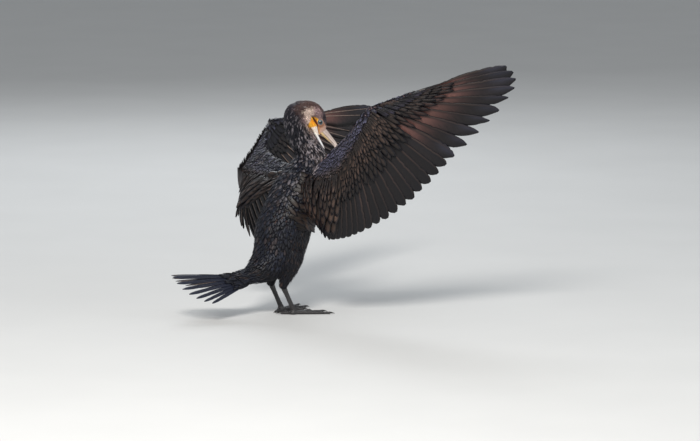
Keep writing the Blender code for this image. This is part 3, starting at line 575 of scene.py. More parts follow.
def bill_material(name, pale, streak):
    """Horn with long streaks and a worn, paler surface."""
    shader = Shader(name)
    round_it, along = shader.vane_place()
    streaks = shader.noise(1.0, 4.0, shader.vector(shader.times(round_it, 60.0), shader.times(along, 5.0)))
    flakes, colour = shader.noise(420.0, 4.0), shader.attribute("Colour")
    base = shader.blend(shader.ramp(streaks, 0.42, 0.75), colour, shader.tinted(colour, streak))
    shader.set(Base_Color=shader.blend(shader.ramp(flakes, 0.55, 0.8), base, pale),
               Roughness=shader.scaled(flakes, 0.2, 0.5), Coat_Weight=0.3)
    shader.bump(shader.plus(streaks, shader.times(flakes, 0.5)), 0.35, 0.0004)
    return shader.material


def eye_material():
    """A dark pupil in an emerald iris, under a wet surface, from the mesh's own ring value."""
    shader = Shader("eye")
    ring, rays = shader.attribute("Ring", "Fac"), shader.noise(900.0, 3.0)
    iris = shader.blend(shader.ramp(rays, 0.3, 0.7), (0.015, 0.075, 0.075), (0.05, 0.17, 0.16))
    rimmed = shader.blend(shader.ramp(ring, 0.62, 0.80), iris, (0.015, 0.03, 0.035))
    shader.set(Base_Color=shader.blend(shader.ramp(ring, 0.46, 0.50), (0.002, 0.002, 0.003), rimmed),
               Roughness=shader.scaled(rays, 0.03, 0.08), Coat_Weight=1.0, Coat_Roughness=0.02)
    shader.bump(rays, 0.03, 0.0002)
    return shader.material


def leg_material():
    """Black scaled skin, a little worn along the edges of the scutes."""
    shader = Shader("leg_skin")
    scutes, grain, patches = shader.cells(420.0), shader.noise(700.0, 4.0), shader.noise(60.0, 3.0)
    base = shader.blend(shader.ramp(patches, 0.35, 0.7), (0.005, 0.005, 0.006), (0.018, 0.017, 0.019))
    shader.set(Base_Color=shader.blend(shader.ramp(scutes, 0.0, 0.18), (0.045, 0.042, 0.042), base),
               Roughness=shader.scaled(grain, 0.3, 0.6))
    shader.bump(shader.plus(shader.ramp(scutes, 0.0, 0.3), shader.times(grain, 0.3)), 0.6, 0.0006)
    return shader.material


def horn_material(name, scale, detail, first, second, rough):
    """Claws and quills: two colours and a roughness that change with one fine grain."""
    shader = Shader(name)
    grain = shader.noise(scale, detail)
    colour = shader.blend(shader.ramp(grain, 0.3, 0.7), first, second)
    shader.set(Base_Color=colour, Roughness=shader.scaled(grain, *rough))
    shader.bump(grain, 0.2, 0.0003)
    return shader.material


def floor_material():
    shader = Shader("floor")
    grain = shader.noise(3.0, 4.0)
    shader.set(Base_Color=shader.blend(grain, (0.60, 0.60, 0.59), (0.66, 0.66, 0.65)),
               Roughness=shader.scaled(grain, 0.7, 0.9))
    return shader.material


MATERIALS = {
    "down": feather_material("down", rough=0.46, sheen=0.02, barbs=26.0, gloss=0.30),
    "covert": feather_material("covert", rough=0.40, sheen=0.02, barbs=60.0, gloss=0.32),
    "flight": feather_material("flight", rough=0.38, sheen=0.01, barbs=260.0, gloss=0.30),
    "skin": skin_material(),
    "upper_bill": bill_material("upper_bill", pale=(0.80, 0.68, 0.60), streak=(0.55, 0.47, 0.40)),
    "lower_bill": bill_material("lower_bill", pale=(0.92, 0.90, 0.88), streak=(0.75, 0.70, 0.68)),
    "eye": eye_material(),
    "leg": leg_material(),
    "claw": horn_material("claw", 500.0, 4.0, (0.006, 0.006, 0.006), (0.03, 0.026, 0.022), (0.15, 0.35)),
    "quill": horn_material("quill", 300.0, 3.0, (0.34, 0.25, 0.20), (0.16, 0.11, 0.09), (0.25, 0.5)),
    "floor": floor_material(),
}


# Shapes of the flesh

def trunk_loft(rows, inset, count, steps):
    rings = []
    for x, z, half_width, half_depth, slope, *to_right in resampled(rows, steps):
        centre = np.array((x, -sum(to_right), z))
        rings.append(section(centre, LEFT, leaning_up(slope), half_width - inset, half_depth - inset, count))
    return loft(rings)


def bar_loft(rows, inset, count, steps):
    """A closed surface through upright ovals in the head's frame."""
    rings = []
    for x, top, bottom, half_width in resampled(rows, steps):
        centre, half = np.array((x, 0, (top + bottom) / 2)), max((top - bottom) / 2 - inset, 0.5)
        rings.append(on_head(section(centre, LEFT, UP, max(half_width - inset, 0.5), half, count)))
    return loft(rings)


def thigh_loft(side, inset, count=24, steps=14):
    rings = []
    mirror = np.array((1, side, 1))
    for place in np.linspace(0, len(THIGH) - 1, steps):
        x, y, z, radius = smooth_rows(THIGH, place)
        way = unit((smooth_rows(THIGH, place + 0.2) - smooth_rows(THIGH, place - 0.2))[:3] * mirror)
        across = unit(np.cross(way, FORWARD))
        rings.append(section(np.array((x, y, z)) * mirror, across, np.cross(across, way),
                             radius - inset, (radius - inset) * 1.15, count))
    return loft(rings)


def ring_of_skin(side, count=28, around=8):
    """The raised skin round an eye."""
    out_by, radius, thickness = EYE_RING
    centre = LEFT * side * out_by
    turn = turns(around)[:, None]
    outs = [np.array((math.cos(angle), 0, math.sin(angle))) for angle in turns(count)]
    return closed_ring([centre + out * (radius + thickness * np.cos(turn)) + LEFT * thickness * np.sin(turn)
                        for out in outs])


class Wing:
    """The surface of a wing's feathers: u counts them from the outermost, v runs root to tip."""

    def __init__(self, name):
        self.name = name
        self.data = WINGS[name]
        self.mirror = np.array((1, self.data["side"], 1.0))
        self.joints = np.array([self.data[key] for key in ("finger", "wrist", "elbow", "shoulder")], float)
        self.limits = np.array((0, PRIMARIES - 0.5, PRIMARIES + SECONDARIES - 0.5, WING_FEATHERS - 0.5))

    def keyed(self, key, u):
        places, values = zip(*self.data[key])
        return smooth_rows(values, np.interp(u, places, range(len(places))))

    def root(self, u):
        """A feather's root on the line of the bones, which is rounded at the elbow."""
        reach = np.maximum(ELBOW_ROUNDING - np.abs(u - self.limits[2]), 0) * ELBOW_SPREAD
        total = 0
        for share in (-1, -0.5, 0, 0.5, 1):
            at = u + reach * share
            total = total + np.stack([np.interp(at, self.limits, axis) for axis in self.joints.T], -1)
        return total / 5

    def face(self, u):
        return unit(self.keyed("faces", u))

    def inner(self, u, v, lift):
        root, tip = self.root(u), self.keyed("tips", u)
        bow = self.data["camber"] * 4 * v * (1 - v)
        return (root + (tip - root) * v[..., None] + self.face(u) * (bow + lift)[..., None]) * self.mirror

    def point(self, u, v, lift=0.0):
        """A point of the surface, which runs on straight beyond its first and last feather."""
        u, v, lift = np.broadcast_arrays(np.asarray(u, float), v, lift)
        last = self.limits[3] - 0.5
        inside = np.clip(u, 0.0, last)
        near = np.where(u < 0, 0.5, last - 0.5)
        here = self.inner(inside, v, lift)
        return here + (here - self.inner(near, v, lift)) * (np.abs(u - inside)[..., None] / 0.5)

    def up(self, u):
        return self.face(u) * self.mirror

    def arm_ends(self, share):
        """The back and front ends of the arm's section at a share of its length, its face and size."""
        data = self.data
        front, shoulder, elbow, wrist = [np.array(data[key], float) for key in
                                         ("front", "shoulder", "elbow", "wrist")]
        bone = np.array([np.interp(share, [0, 0.5, 1], ends) for ends in zip(shoulder, elbow, wrist)])
        lead = front + (wrist - front) * share
        lead = lead + unit(elbow - (front + wrist) / 2) * data["slack"] * math.sin(math.pi * share)
        u = np.interp(share, [0, 0.5, 1], self.limits[[3, 2, 1]])
        back = unit(self.keyed("tips", u) - bone)
        return bone + back * ROOT_MARGIN, lead - back * LEADING_MARGIN * share, self.face(u), 1.0

    def hand_ends(self, share):
        """The same of the hand's section."""
        wrist, finger = np.array(self.data["wrist"], float), np.array(self.data["finger"], float)
        bone = wrist + (finger - wrist) * share
        back = unit(self.keyed("tips", self.limits[1] * (1 - share * 0.7)) - bone)
        size = 1 - (1 - FINGER_SHARE) * share
        return (bone + back * ROOT_MARGIN * size, bone - back * LEADING_MARGIN * size,
                self.face(self.limits[1] * (1 - share)), size)

    def lofts(self, inset):
        for ends, steps in ((self.arm_ends, 25), (self.hand_ends, 13)):
            yield loft([blade(*ends(share), inset) * self.mirror for share in np.linspace(0, 1, steps)])


def wing_half(share, size):
    """Half the thickness of a wing's flesh at a share of the way to its front edge."""
    half = BONE_HALF * between(WING_SECTION, share) * size
    return half if share <= 0.5 else max(EDGE_HALF * size * min(1, (1 - share) * EDGE_TAPER), half)


def blade(start, end, face, size, inset):
    """The ring of a wing's section."""
    upper, lower = [], []
    for share in np.interp(np.linspace(0, 5, 16), range(6), [row[0] for row in WING_SECTION]):
        half = max(wing_half(share, size) - inset, LEAST_HALF)
        middle = start + (end - start) * share
        upper.append(middle + face * half)
        lower.append(middle - face * half)
    return np.array(upper + lower[-2:0:-1])


class Tail:
    """The fan of the tail: u counts the feathers from the bird's right, v runs root to tip."""

    def __init__(self):
        self.aim = unit(TAIL_AIM)
        right = unit(np.cross(UP, self.aim))
        up = np.cross(self.aim, right)
        roll = math.radians(TAIL_ROLL)
        self.right = right * math.cos(roll) - up * math.sin(roll)
        self.rise = up * math.cos(roll) + right * math.sin(roll)
        self.slope = math.radians(TAIL_SLOPE)

    def share(self, u):
        """1 at the first feather, 0 in the middle and -1 at the last."""
        return 1 - 2 * np.asarray(u, float) / (TAIL_FEATHERS - 1)

    def point(self, u, v, lift=0.0):
        u, v, lift = np.broadcast_arrays(np.asarray(u, float), v, lift)
        share = self.share(u)
        side = np.where(share > 0, 1.0, -1.0)
        across = self.right * math.cos(self.slope) * side[..., None] - self.rise * math.sin(self.slope)
        turn = (math.radians(TAIL_SPREAD) * np.abs(share))[..., None]
        length = TAIL_LENGTH * (1 - (1 - TAIL_OUTER_SHARE) * np.abs(share) ** 1.5)
        root = TAIL_ROOT + across * (TAIL_BASE_HALF * np.abs(share))[..., None]
        way = self.aim * np.cos(turn) + across * np.sin(turn)
        return root + way * (length * v)[..., None] + self.up(u) * lift[..., None]

    def up(self, u):
        lean = np.clip(self.share(u) * 3, -1, 1)[..., None]
        return unit(self.rise * math.cos(self.slope) + self.right * math.sin(self.slope) * lean)

    def loft(self, inset):
        rings = []
        for along, half_width, half_depth in TAIL_CORE:
            centre = TAIL_ROOT + self.aim * along - self.rise * (2 + along * 0.08)
            rings.append(section(centre, self.right, self.rise, half_width - inset,
                                 half_depth - inset * 0.8, 24))
        return loft(rings)


WING_SURFACES = {name: Wing(name) for name in WINGS}
TAIL = Tail()


# Lie of the coat: points along the body's middle, from the bill to the tail

def lie_line():
    head = on_head([(45, 0, -10), (22, 0, -8), (5, 0, -2), (-15, 0, 2), (-35, 0, 0), (-50, 0, -10)])
    neck = [(row[0], -row[5], row[1]) for row in NECK[-2::-1]]
    torso = [(row[0], 0, row[1]) for row in TORSO[-2::-1]]
    return np.concatenate([head, neck, torso, [TAIL_ROOT + TAIL.aim * along for along in (40, 90)]])


def line_samples(line, count):
    points = resampled(line, count)
    return points, unit(np.gradient(points, axis=0))


def nearness(points, places):
    """How much each place counts at each point: the nearest far more than the rest."""
    return 1 / np.maximum(np.linalg.norm(points[:, None] - places[None], axis=-1), 4) ** 7


BODY_LINE = line_samples(lie_line(), 90)
THIGH_LINES = [line_samples([(x, y * side, z) for x, y, z, _ in THIGH], 12) for side in SIDES.values()]


def lie_of(points):
    """The way the coat lies at points of the skin."""
    places, ways = [np.concatenate(column) for column in zip(BODY_LINE, *THIGH_LINES)]
    return unit(nearness(points, places) @ ways)


def along_body(points):
    """How far along the body each point is, from 0 at the bill to 1 at the tail."""
    weight = nearness(points, BODY_LINE[0])
    return (weight @ np.linspace(0, 1, len(BODY_LINE[0]))) / weight.sum(axis=1)


# Markings, read from the place on the bird alone, by skin and coat alike

def wobble(points, scale):
    """A smooth value about 0 that changes over some millimetres."""
    x, y, z = (np.asarray(points) / scale).T
    return (np.sin(x * 1.7 + y * 2.3) + np.sin(y * 1.9 - z * 2.1 + 1.3) + np.sin(z * 1.5 + x * 2.7 + 0.6)) / 3


def slit_share(x, z):
    """1 in the gape's slit, 0 on the skin beside it."""
    first, last, half = SLIT[0][0], SLIT[-1][0], between(SLIT, x, 2)
    inside = smoothstep(half + 0.7, half - 0.5, np.abs(z - between(SLIT, x)))
    return inside * smoothstep(first - 0.5, first + 0.5, x) * smoothstep(last + 1, last, x)


def bare_share(points):
    """1 where the face is bare skin, 0 under feathers."""
    x, y, z = in_head(points).T
    x = x + wobble(points, 5.0) * 0.9
    lores = smoothstep(-5, -2, x) * smoothstep(7.5, 5.5, z + x * 0.12)
    cheek = smoothstep(-21.5, -19, x) * smoothstep(1.2, -0.8, z - between(CHEEK_TOP, x))
    upper = np.maximum(lores, cheek * smoothstep(3, -3, x) + smoothstep(-3, 0, x) * (z < 3))
    lower = smoothstep(-1.2, 0.8, x + 21.4 + (z + 7) * 0.57)
    near = smoothstep(BARE_BOTTOM - 0.6, BARE_BOTTOM + 0.6, z)
    near = near * (np.abs(y) < BARE_SIDE) * (x < BARE_FRONT) * (x > BARE_BACK)
    return np.clip(np.maximum(np.where(z > -7, upper, lower), slit_share(x, z)) * near, 0, 1)


def bare_colour(points):
    """Yellow round the gape, orange before the eye and pale horn on the lower jaw."""
    x, _, z = in_head(points).T
    over_slit = z - between(SLIT, x)
    upper = mix(YELLOW * 0.8, ORANGE, smoothstep(-7, 1, x))
    upper = mix(upper, DUSKY, smoothstep(8, 20, x) * 0.7)
    upper = mix(upper, YELLOW * 0.7, smoothstep(5, 2, over_slit) * smoothstep(-2, 6, x) * 0.7)
    lower = mix(YELLOW, HORN, smoothstep(-2.8, 0.6, x - 0.436 * (z + 21.6)))
    lower = mix(lower, YELLOW * 0.8, smoothstep(-24.5, -27, z) * smoothstep(12, 4, x))
    colour = mix(upper, lower, smoothstep(0.3, -0.3, over_slit))
    # the gape's slit is painted the mouth's dark red, darkened to near black toward its back corner as
    # painted shade
    return mix(colour, mix(MOUTH * 0.35, MOUTH * 2.2, smoothstep(-16, 0, x)), slit_share(x, z))


def cream_band(x, z, wave):
    """1 in the pale band behind the gape, and on the chin."""
    band = smoothstep(-3.5, 3.5, (x + 44.7) * 0.3185 + (z + 13.4) * 0.948 + wave * 0.6)
    band = band * smoothstep(-4, 6, x + 44.7 - (z + 13.4) * 0.44 + wave * 0.5)
    band = band * smoothstep(-6, 6, -(x + 30) * 0.625 - (z - 5) * 0.78 + wave * 0.4)
    return np.maximum(band, smoothstep(-20, -12, x) * smoothstep(-24, -27, z) * smoothstep(16, 6, x) * 0.6)


def head_colour(points):
    """Brown crown, dark forehead and nape, and a cream band behind the gape."""
    x, _, z = in_head(points).T
    fleck = rng.random(len(x))
    wave = wobble(points, 7.0) * 2.5 + (fleck - 0.5) * 5
    crown = mix(CROWN, NAPE, smoothstep(-22, -33, z + wave))
    crown = mix(crown, NAPE * 1.3, smoothstep(-58, -66, x + wave))
    side = mix(SIDE * 0.7, SIDE * 1.35, fleck)
    colour = mix(crown, side, smoothstep(-36, -24, x + wave * 0.8) * smoothstep(22, 13, z + wave * 0.5))
    front = smoothstep(-10, 4, x + z * 0.5 + wave * 0.5) * smoothstep(6, 9, z + x * 0.15)
    colour = mix(colour, mix(NAPE, SIDE * 0.8, (fleck > 0.8) * 0.7), front)
    pale = mix(CREAM * 0.75, CREAM * 1.2, fleck * 0.5 + 0.5 * smoothstep(-38, -22, x))
    return mix(colour, pale, cream_band(x, z, wave))


def neck_colour(x, y, fleck):
    """Black with silver flecks, which crowd on its front."""
    front = smoothstep(-6, 26, (x - 20) * 0.85 - (y + 6) * 0.53)
    neck = mix(BLACK * 1.4, SILVER * 0.5, (fleck > 0.76) * 0.75)
    return mix(neck, mix(BUFF * 0.8, SILVER, fleck), front * smoothstep(0.25, 0.75, fleck))


def torso_colour(points, fleck):
    """A dark breast with a few pale feathers, a blue-black back and a rusty flank."""
    x, y, z = points.T
    breast = mix(BLACK * 1.2, BROWN, smoothstep(0.8, 1.0, fleck))
    pale_breast = smoothstep(35, 62, x) * smoothstep(300, 345, z)
    breast = mix(breast, BUFF * 0.5, pale_breast * (fleck > 0.5) * 0.7)
    back = mix(BLACK, BLUE_BLACK * 1.3, smoothstep(-1, 1, wobble(points, 30)))
    back = mix(back, BROWN, (fleck > 0.88) * 0.6)
    torso = mix(breast, back, smoothstep(-0.2, 0.6, -(x - between(BACK_COLOUR, z)) / 40))
    rusty = np.exp(-((z - 232) / 16) ** 2 - ((y + 42) / 14) ** 2) * (y < 0)
    return mix(torso, WARM_BROWN * 1.3, rusty * 0.75)


def body_colour(points):
    """The coat's colour over the whole body."""
    t = along_body(points)
    head = head_colour(points)
    fleck = rng.random(len(points))
    colour = mix(head, neck_colour(points[:, 0], points[:, 1], fleck), smoothstep(0.20, 0.30, t))
    return mix(colour, torso_colour(points, fleck), smoothstep(0.43, 0.52, t))


# Feathers in arrays

def vane_faces(rows, cols):
    """Faces of one closed vane whose under side shares the edge of its upper side."""
    top = numbered(rows + 1, cols + 1)
    under = top.copy()
    under[1:-1, 1:-1] = top.size + numbered(rows - 1, cols - 1)
    faces = np.concatenate([quads_of(top), quads_of(under)[:, [0, 3, 2, 1]]])
    return faces, top.size + (rows - 1) * (cols - 1)


def on_vane(rows, cols):
    """How far along and across a vane each of its points is: 0 to 1, and -1 to 1."""
    return np.linspace(0, 1, rows + 1)[None, :, None], np.linspace(-1, 1, cols + 1)[None, None, :]


class Coat:
    """A piece of feathers, gathered group by group and then made as one mesh."""

    def __init__(self, name, material, slot="flight_feathers"):
        self.name, self.material, self.slot = name, material, slot
        self.parts = []
        self.total = 0

    def add(self, grid, up, colour, rim, bake, thickness, patch=BAKE_PATCH):
        """grid: points of each vane (count, rows + 1, cols + 1, 3); up: its normal (count, 3).

        colour is one a vane or one a point, and rim its colour and strength; bake is
        each vane's place on the bake map, and patch the size of its share of it.
        """
        count, rows, cols = grid.shape[0], grid.shape[1] - 1, grid.shape[2] - 1
        faces, size = vane_faces(rows, cols)
        if colour.ndim == 2:
            colour = np.broadcast_to(colour[:, None, None], grid.shape)
        under = grid[:, 1:-1, 1:-1] - up[:, None, None] * thickness
        points = np.concatenate([grid.reshape(count, -1, 3), under.reshape(count, -1, 3)], axis=1)
        inner = colour[:, 1:-1, 1:-1].reshape(count, -1, 3)
        shade = np.concatenate([colour.reshape(count, -1, 3), inner], axis=1)
        vane = np.stack(np.meshgrid(np.linspace(0, 1, cols + 1), np.linspace(0, 1, rows + 1)), -1)
        flat = np.concatenate([vane.reshape(-1, 2), vane[1:-1, 1:-1].reshape(-1, 2)])
        place = bake[:, None] + (flat - 0.5) * np.broadcast_to(patch, (count, 2))[:, None]
        quads = faces + (self.total + np.arange(count) * size)[:, None, None]
        rims = np.empty((count, 4))
        rims[:, :3], rims[:, 3] = rim
        seeds = rng.random(count) * 40
        self.total += count * size
        self.parts.append((points.reshape(-1, 3), quads.reshape(-1, 4), shade.reshape(-1, 3),
                           np.repeat(rims, size, axis=0), np.tile(flat, (count, 1)), place.reshape(-1, 2),
                           np.repeat(seeds, size)))

    def make(self):
        columns = [np.concatenate(column) for column in zip(*self.parts)]
        points, quads, shade, rims, vane, place, seeds = columns
        data = bpy.data.meshes.new(self.name)
        data.vertices.add(len(points))
        data.vertices.foreach_set("co", metres(points).astype(np.float32).ravel())
        data.loops.add(quads.size)
        data.loops.foreach_set("vertex_index", quads.astype(np.int32).ravel())
        data.polygons.add(len(quads))
        data.polygons.foreach_set("loop_start", np.arange(0, quads.size, 4, dtype=np.int32))
        data.update(calc_edges=True)
        set_uv(data, "OFBake", place, quads.ravel())
        set_uv(data, "Vane", vane, quads.ravel())
        set_colour(data, "Colour", shade)
        set_colour(data, "Rim", rims)
        set_value(data, "Seed", seeds)
        data.shade_smooth()
        data.materials.append(MATERIALS[self.material])
        obj = linked(self.name, data)
        return keep(obj)


# The skin

class Skin:
    """The skin with what the coat needs of it: nearest places, normals and its unwrap."""

    def __init__(self, obj):
        data = obj.data
        self.points = read(data.vertices, "co", 3) / MM - SHIFT
        self.normals = read(data.vertices, "normal", 3)
        self.faces = [list(polygon.vertices) for polygon in data.polygons]
        self.tree = BVHTree.FromPolygons([Vector(point) for point in self.points], self.faces)
        uv = read(data.uv_layers["OFBake"].data, "uv", 2)
        self.corner_uv = [uv[polygon.loop_start:polygon.loop_start + polygon.loop_total]
                          for polygon in data.polygons]

    def weights(self, place, face):
        """How much each corner of a face counts at a place on it."""
        return 1 / (np.linalg.norm(self.points[self.faces[face]] - place, axis=1) + 0.05)

    def nearest(self, points):
        """The nearest places on the skin, their smooth normals and their faces."""
        places, normals, faces = [], [], []
        for point in points:
            place, _, face, _ = self.tree.find_nearest(Vector(point))
            near = np.array(place)
            places.append(near)
            normals.append(self.weights(near, face) @ self.normals[self.faces[face]])
            faces.append(face)
        return np.array(places), unit(normals), faces

    def bake_place(self, places, faces):
        made = []
        for place, face in zip(places, faces):
            weight = self.weights(place, face)
            made.append(weight @ self.corner_uv[face] / weight.sum())
        return np.array(made)


def cut_slit(obj):
    """The gape's slit as a groove, and fine folds in the skin beside it."""
    for vert in obj.data.vertices:
        x, y, z = in_head(np.array(vert.co) / MM - SHIFT)
        if abs(y) < 4 or not -26 < x < 24 or z > 6:
            continue
        depth = SLIT_DEPTH * float(slit_share(x, z)) * min(abs(y) / 12, 1)
        folded = float(smoothstep(-26, -22, x) * smoothstep(-8, -12, z))
        fold = FOLD_DEPTH * math.sin((z - x * 0.3) * 2.6) * folded
        vert.co = Vector(metres(on_head((x, y - math.copysign(depth + fold, y), z))))


def build_skin():
    """One skin from the bill to the tail and out along both wings."""
    parts = [trunk_loft(TORSO, 4.5, 40, 40), trunk_loft(NECK, 3.5, 36, 30), bar_loft(SKULL, 2.0, 32, 30),
             bar_loft(JAW, 1.5, 28, 20), TAIL.loft(4.0)]
    parts += [thigh_loft(side, 3.5) for side in SIDES.values()]
    for wing in WING_SURFACES.values():
        parts += wing.lofts(1.5)
    body = remeshed(new_object("skin", joined(parts)), *BODY_MESH)
    face = [bar_loft(SKULL, 1.0, 44, 60), bar_loft(JAW, 1.0, 40, 40), bar_loft(GAPE, 1.0, 40, 40)]
    face += [ring_of_skin(side) for side in SIDES.values()]
    head = remeshed(new_object("head_skin", joined(face)), *FACE_MESH)
    cut_slit(head)
    with bpy.context.temp_override(active_object=body, selected_editable_objects=[body, head],
                                   selected_objects=[body, head], object=body):
        bpy.ops.object.join()
    return body


def unwrap(obj):
    """The skin's own unwrap, on its bake map."""
    bpy.context.view_layer.objects.active = obj
    obj.select_set(True)
    obj.data.uv_layers.new(name="OFBake")
    bpy.ops.object.mode_set(mode="EDIT")
    bpy.ops.mesh.select_all(action="SELECT")
    bpy.ops.uv.smart_project(angle_limit=math.radians(UNWRAP_ANGLE), island_margin=UNWRAP_MARGIN)
    bpy.ops.object.mode_set(mode="OBJECT")
    obj.select_set(False)


def paint_skin(obj):
    """The same markings as the coat's, darkened as painted shade where the skin shows between the feathers,
    and the bare skin of the face.
    """
    points = read(obj.data.vertices, "co", 3) / MM - SHIFT
    set_colour(obj.data, "Colour", mix(body_colour(points) * 0.6, bare_colour(points), bare_share(points)))
    obj.data.materials.append(MATERIALS["skin"])


skin_object = build_skin()
unwrap(skin_object)
paint_skin(skin_object)
keep(skin_object, "torso", "neck", "head", "thigh_left", "thigh_right")
SKIN = Skin(skin_object)


# Feathers on the skin

def wing_distance(points):
    """Distance from the bones of the wings, beyond the shoulders."""
    best = np.full(len(points), 1e9)
    for wing in WING_SURFACES.values():
        bones = wing.joints[::-1] * wing.mirror
        for a, b in zip(bones, bones[1:]):
            t = np.clip(((points - a) @ (b - a)) / ((b - a) @ (b - a)), 0, 1)
            reach = np.linalg.norm(points - a - t[:, None] * (b - a), axis=1)
            best = np.where(np.abs(points[:, 1]) > SHOULDER_HALF, np.minimum(best, reach), best)
    return best


def spaced(places, radius):
    """Numbers of the places that keep their radius from those kept before them."""
    keys = np.floor(places / float(radius.max())).astype(int)
    around = list(itertools.product((-1, 0, 1), repeat=3))
    grid, kept = {}, []
    for k, (i, j, m) in enumerate(keys.tolist()):
        point, reach = places[k], radius[k] ** 2
        near = (grid.get((i + di, j + dj, m + dm), ()) for di, dj, dm in around)
        if all((other - point) @ (other - point) >= reach for cell in near for other in cell):
            grid.setdefault((i, j, m), []).append(point)
            kept.append(k)
    return kept


def scatter(spacing_of, wanted):
    """Places spread over the skin, about spacing_of(points) apart, in a seeded draw."""
    triangles = np.array([(face[0], *pair) for face in SKIN.faces for pair in zip(face[1:], face[2:])])
    a, b, c = SKIN.points[triangles.T]
    middle = (a + b + c) / 3
    spacing = spacing_of(middle)
    area = np.linalg.norm(np.cross(b - a, c - a), axis=1) / 2
    density = np.where(wanted(middle), area / spacing ** 2, 0)
    count = int(density.sum() * TRIES)
    chosen = rng.choice(len(triangles), size=count, p=density / density.sum())
    r1, r2 = rng.random((2, count))
    flip = r1 + r2 > 1
    r1, r2 = np.where(flip, 1 - r1, r1), np.where(flip, 1 - r2, r2)
    places = a[chosen] + (b - a)[chosen] * r1[:, None] + (c - a)[chosen] * r2[:, None]
    return places[spaced(places, spacing[chosen] * CLOSENESS)]


def laid_along(ways, normals):
    """The ways, turned to lie in the surface with these normals."""
    return unit(ways - normals * np.sum(ways * normals, axis=1, keepdims=True))


def twisted(ways, normals, spread):
    """The ways in a surface, each turned a little by a seeded draw."""
    twist = rng.normal(0, spread, len(ways))[:, None]
    return unit(ways * np.cos(twist) + np.cross(normals, ways) * np.sin(twist))


def grow(places, length, width, rise, shape, rows, cols, spread=0.12, lie=None, camber=0.07):
    """Vanes that start at places on the skin and follow it, one step for each row."""
    start, normals, faces = SKIN.nearest(places)
    heading = twisted(laid_along(lie_of(start) if lie is None else lie, normals), normals, spread)
    across = np.linspace(-1, 1, cols + 1)[None, :, None]
    arch = camber * width[:, None, None] * (1 - across * across)
    grid = []
    here, normal = start, normals
    for along in np.arange(rows + 1) / rows:
        if along:
            here, normal, _ = SKIN.nearest(here + heading * (length / rows)[:, None])
            heading = laid_along(heading, normal)
        side = unit(np.cross(normal, heading))
        half = (width * between(shape, along) / 2)[:, None, None]
        lift = (rise * (0.12 + 0.88 * along ** 0.8) - 0.35 * (along == 0)) * np.ones(len(places))
        height = lift[:, None, None] + arch
        grid.append(here[:, None] + side[:, None] * half * across + normal[:, None] * height)
    return np.stack(grid, axis=1), normals, SKIN.bake_place(start, faces), start


def bake_of(points):
    places, _, faces = SKIN.nearest(points)
    return SKIN.bake_place(places, faces)


def varied(count, spread):
    return 1 + rng.normal(0, spread, count).clip(-2 * spread, 2 * spread)


def head_spacing(points):
    return between(SPACING, along_body(points)) / math.sqrt(DENSITY)


def is_back(points):
    return (points[:, 0] < between(BACK_EDGE, points[:, 2])) & (points[:, 2] > BACK_BOTTOM)


def grow_head_and_neck():
    def wanted(points):
        x, _, z = in_head(points).T
        covered = (along_body(points) < HEAD_COAT_END) & (bare_share(points) < 0.45)
        return covered & (np.hypot(x, z) > EYE_CLEAR)
    coat = Coat("head_coat", "down", "plumage")
    places = scatter(head_spacing, wanted)
    t = along_body(places)
    count = len(places)
    length = between(HEAD_LENGTH, t) * varied(count, 0.15)
    width = between(HEAD_WIDTH, t) * varied(count, 0.12)
    rise = between(HEAD_RISE, t) * varied(count, 0.25)
    grid, up, bake, start = grow(places, length, width, rise, POINTED, 3, 2)
    colour = body_colour(start) * varied(count, 0.16)[:, None]
    coat.add(grid, up, colour, (np.clip(colour * 1.8, 0, 0.8), 0.45), bake, HEAD_VANE)
    coat.make()


def grow_body():
    """Feathers of the body, longest over the thighs."""
    coat = Coat("body_coat", "down", "plumage")
    places = scatter(head_spacing, lambda points: (along_body(points) >= BODY_COAT_START)
                     & (wing_distance(points) > BODY_CLEAR))
    t = along_body(places)
    count = len(places)
    back = is_back(places)
    length = np.where(back, 15.0, 12.5) * varied(count, 0.18)
    length = np.where(t > LONG_COAT_START, 17.0, length) * between(NECK_SHARE, t)
    by_thigh = (places[:, 2] < THIGH_TOP) & (places[:, 0] > THIGH_BACK)
    length = np.where(by_thigh, 21.0 * varied(count, 0.12), length)
    width = np.where(back, 5.2, 3.7) * varied(count, 0.15)
    rise = np.where(back, 2.6, 2.4) * varied(count, 0.3)
    grid, up, bake, start = grow(places, length, width, rise, POINTED, 4, 2)
    colour = body_colour(start) * varied(count, 0.2)[:, None]
    coat.add(grid, up, colour, (colour * 1.5, 0.3), bake, BODY_VANE)
    coat.make()


def grow_mantle():
    """Scale-like feathers of the back, with dark glossy rims."""
    def wanted(points):
        t = along_body(points)
        clear = wing_distance(points) > MANTLE_CLEAR
        return (t > MANTLE_START) & (t < MANTLE_END) & is_back(points) & clear
    coat = Coat("mantle_coat", "covert", "plumage")
    places = scatter(lambda points: np.full(len(points), MANTLE_SPACING / math.sqrt(DENSITY)), wanted)
    t = along_body(places)
    count = len(places)
    length = between(MANTLE_LENGTH, t) * varied(count, 0.14)
    width = between(MANTLE_WIDTH, t) * varied(count, 0.12)
    grid, up, bake, _ = grow(places, length, width, 3.6 * varied(count, 0.2), ROUND, 5, 4)
    shade = rng.random(count)
    colour = mix(BLACK * 0.8, BLUE_BLACK * 1.2, shade)
    colour = mix(colour, BROWN, (shade > 0.85) * 0.6)
    silvery = smoothstep(255, 300, places[:, 2]) * (rng.random(count) > 0.78)
    colour = mix(colour, SILVER * 0.35, silvery * 0.8)
    coat.add(grid, up, colour, (BLACK * 0.6, 0.7), bake, COVERT_VANE)
    coat.make()


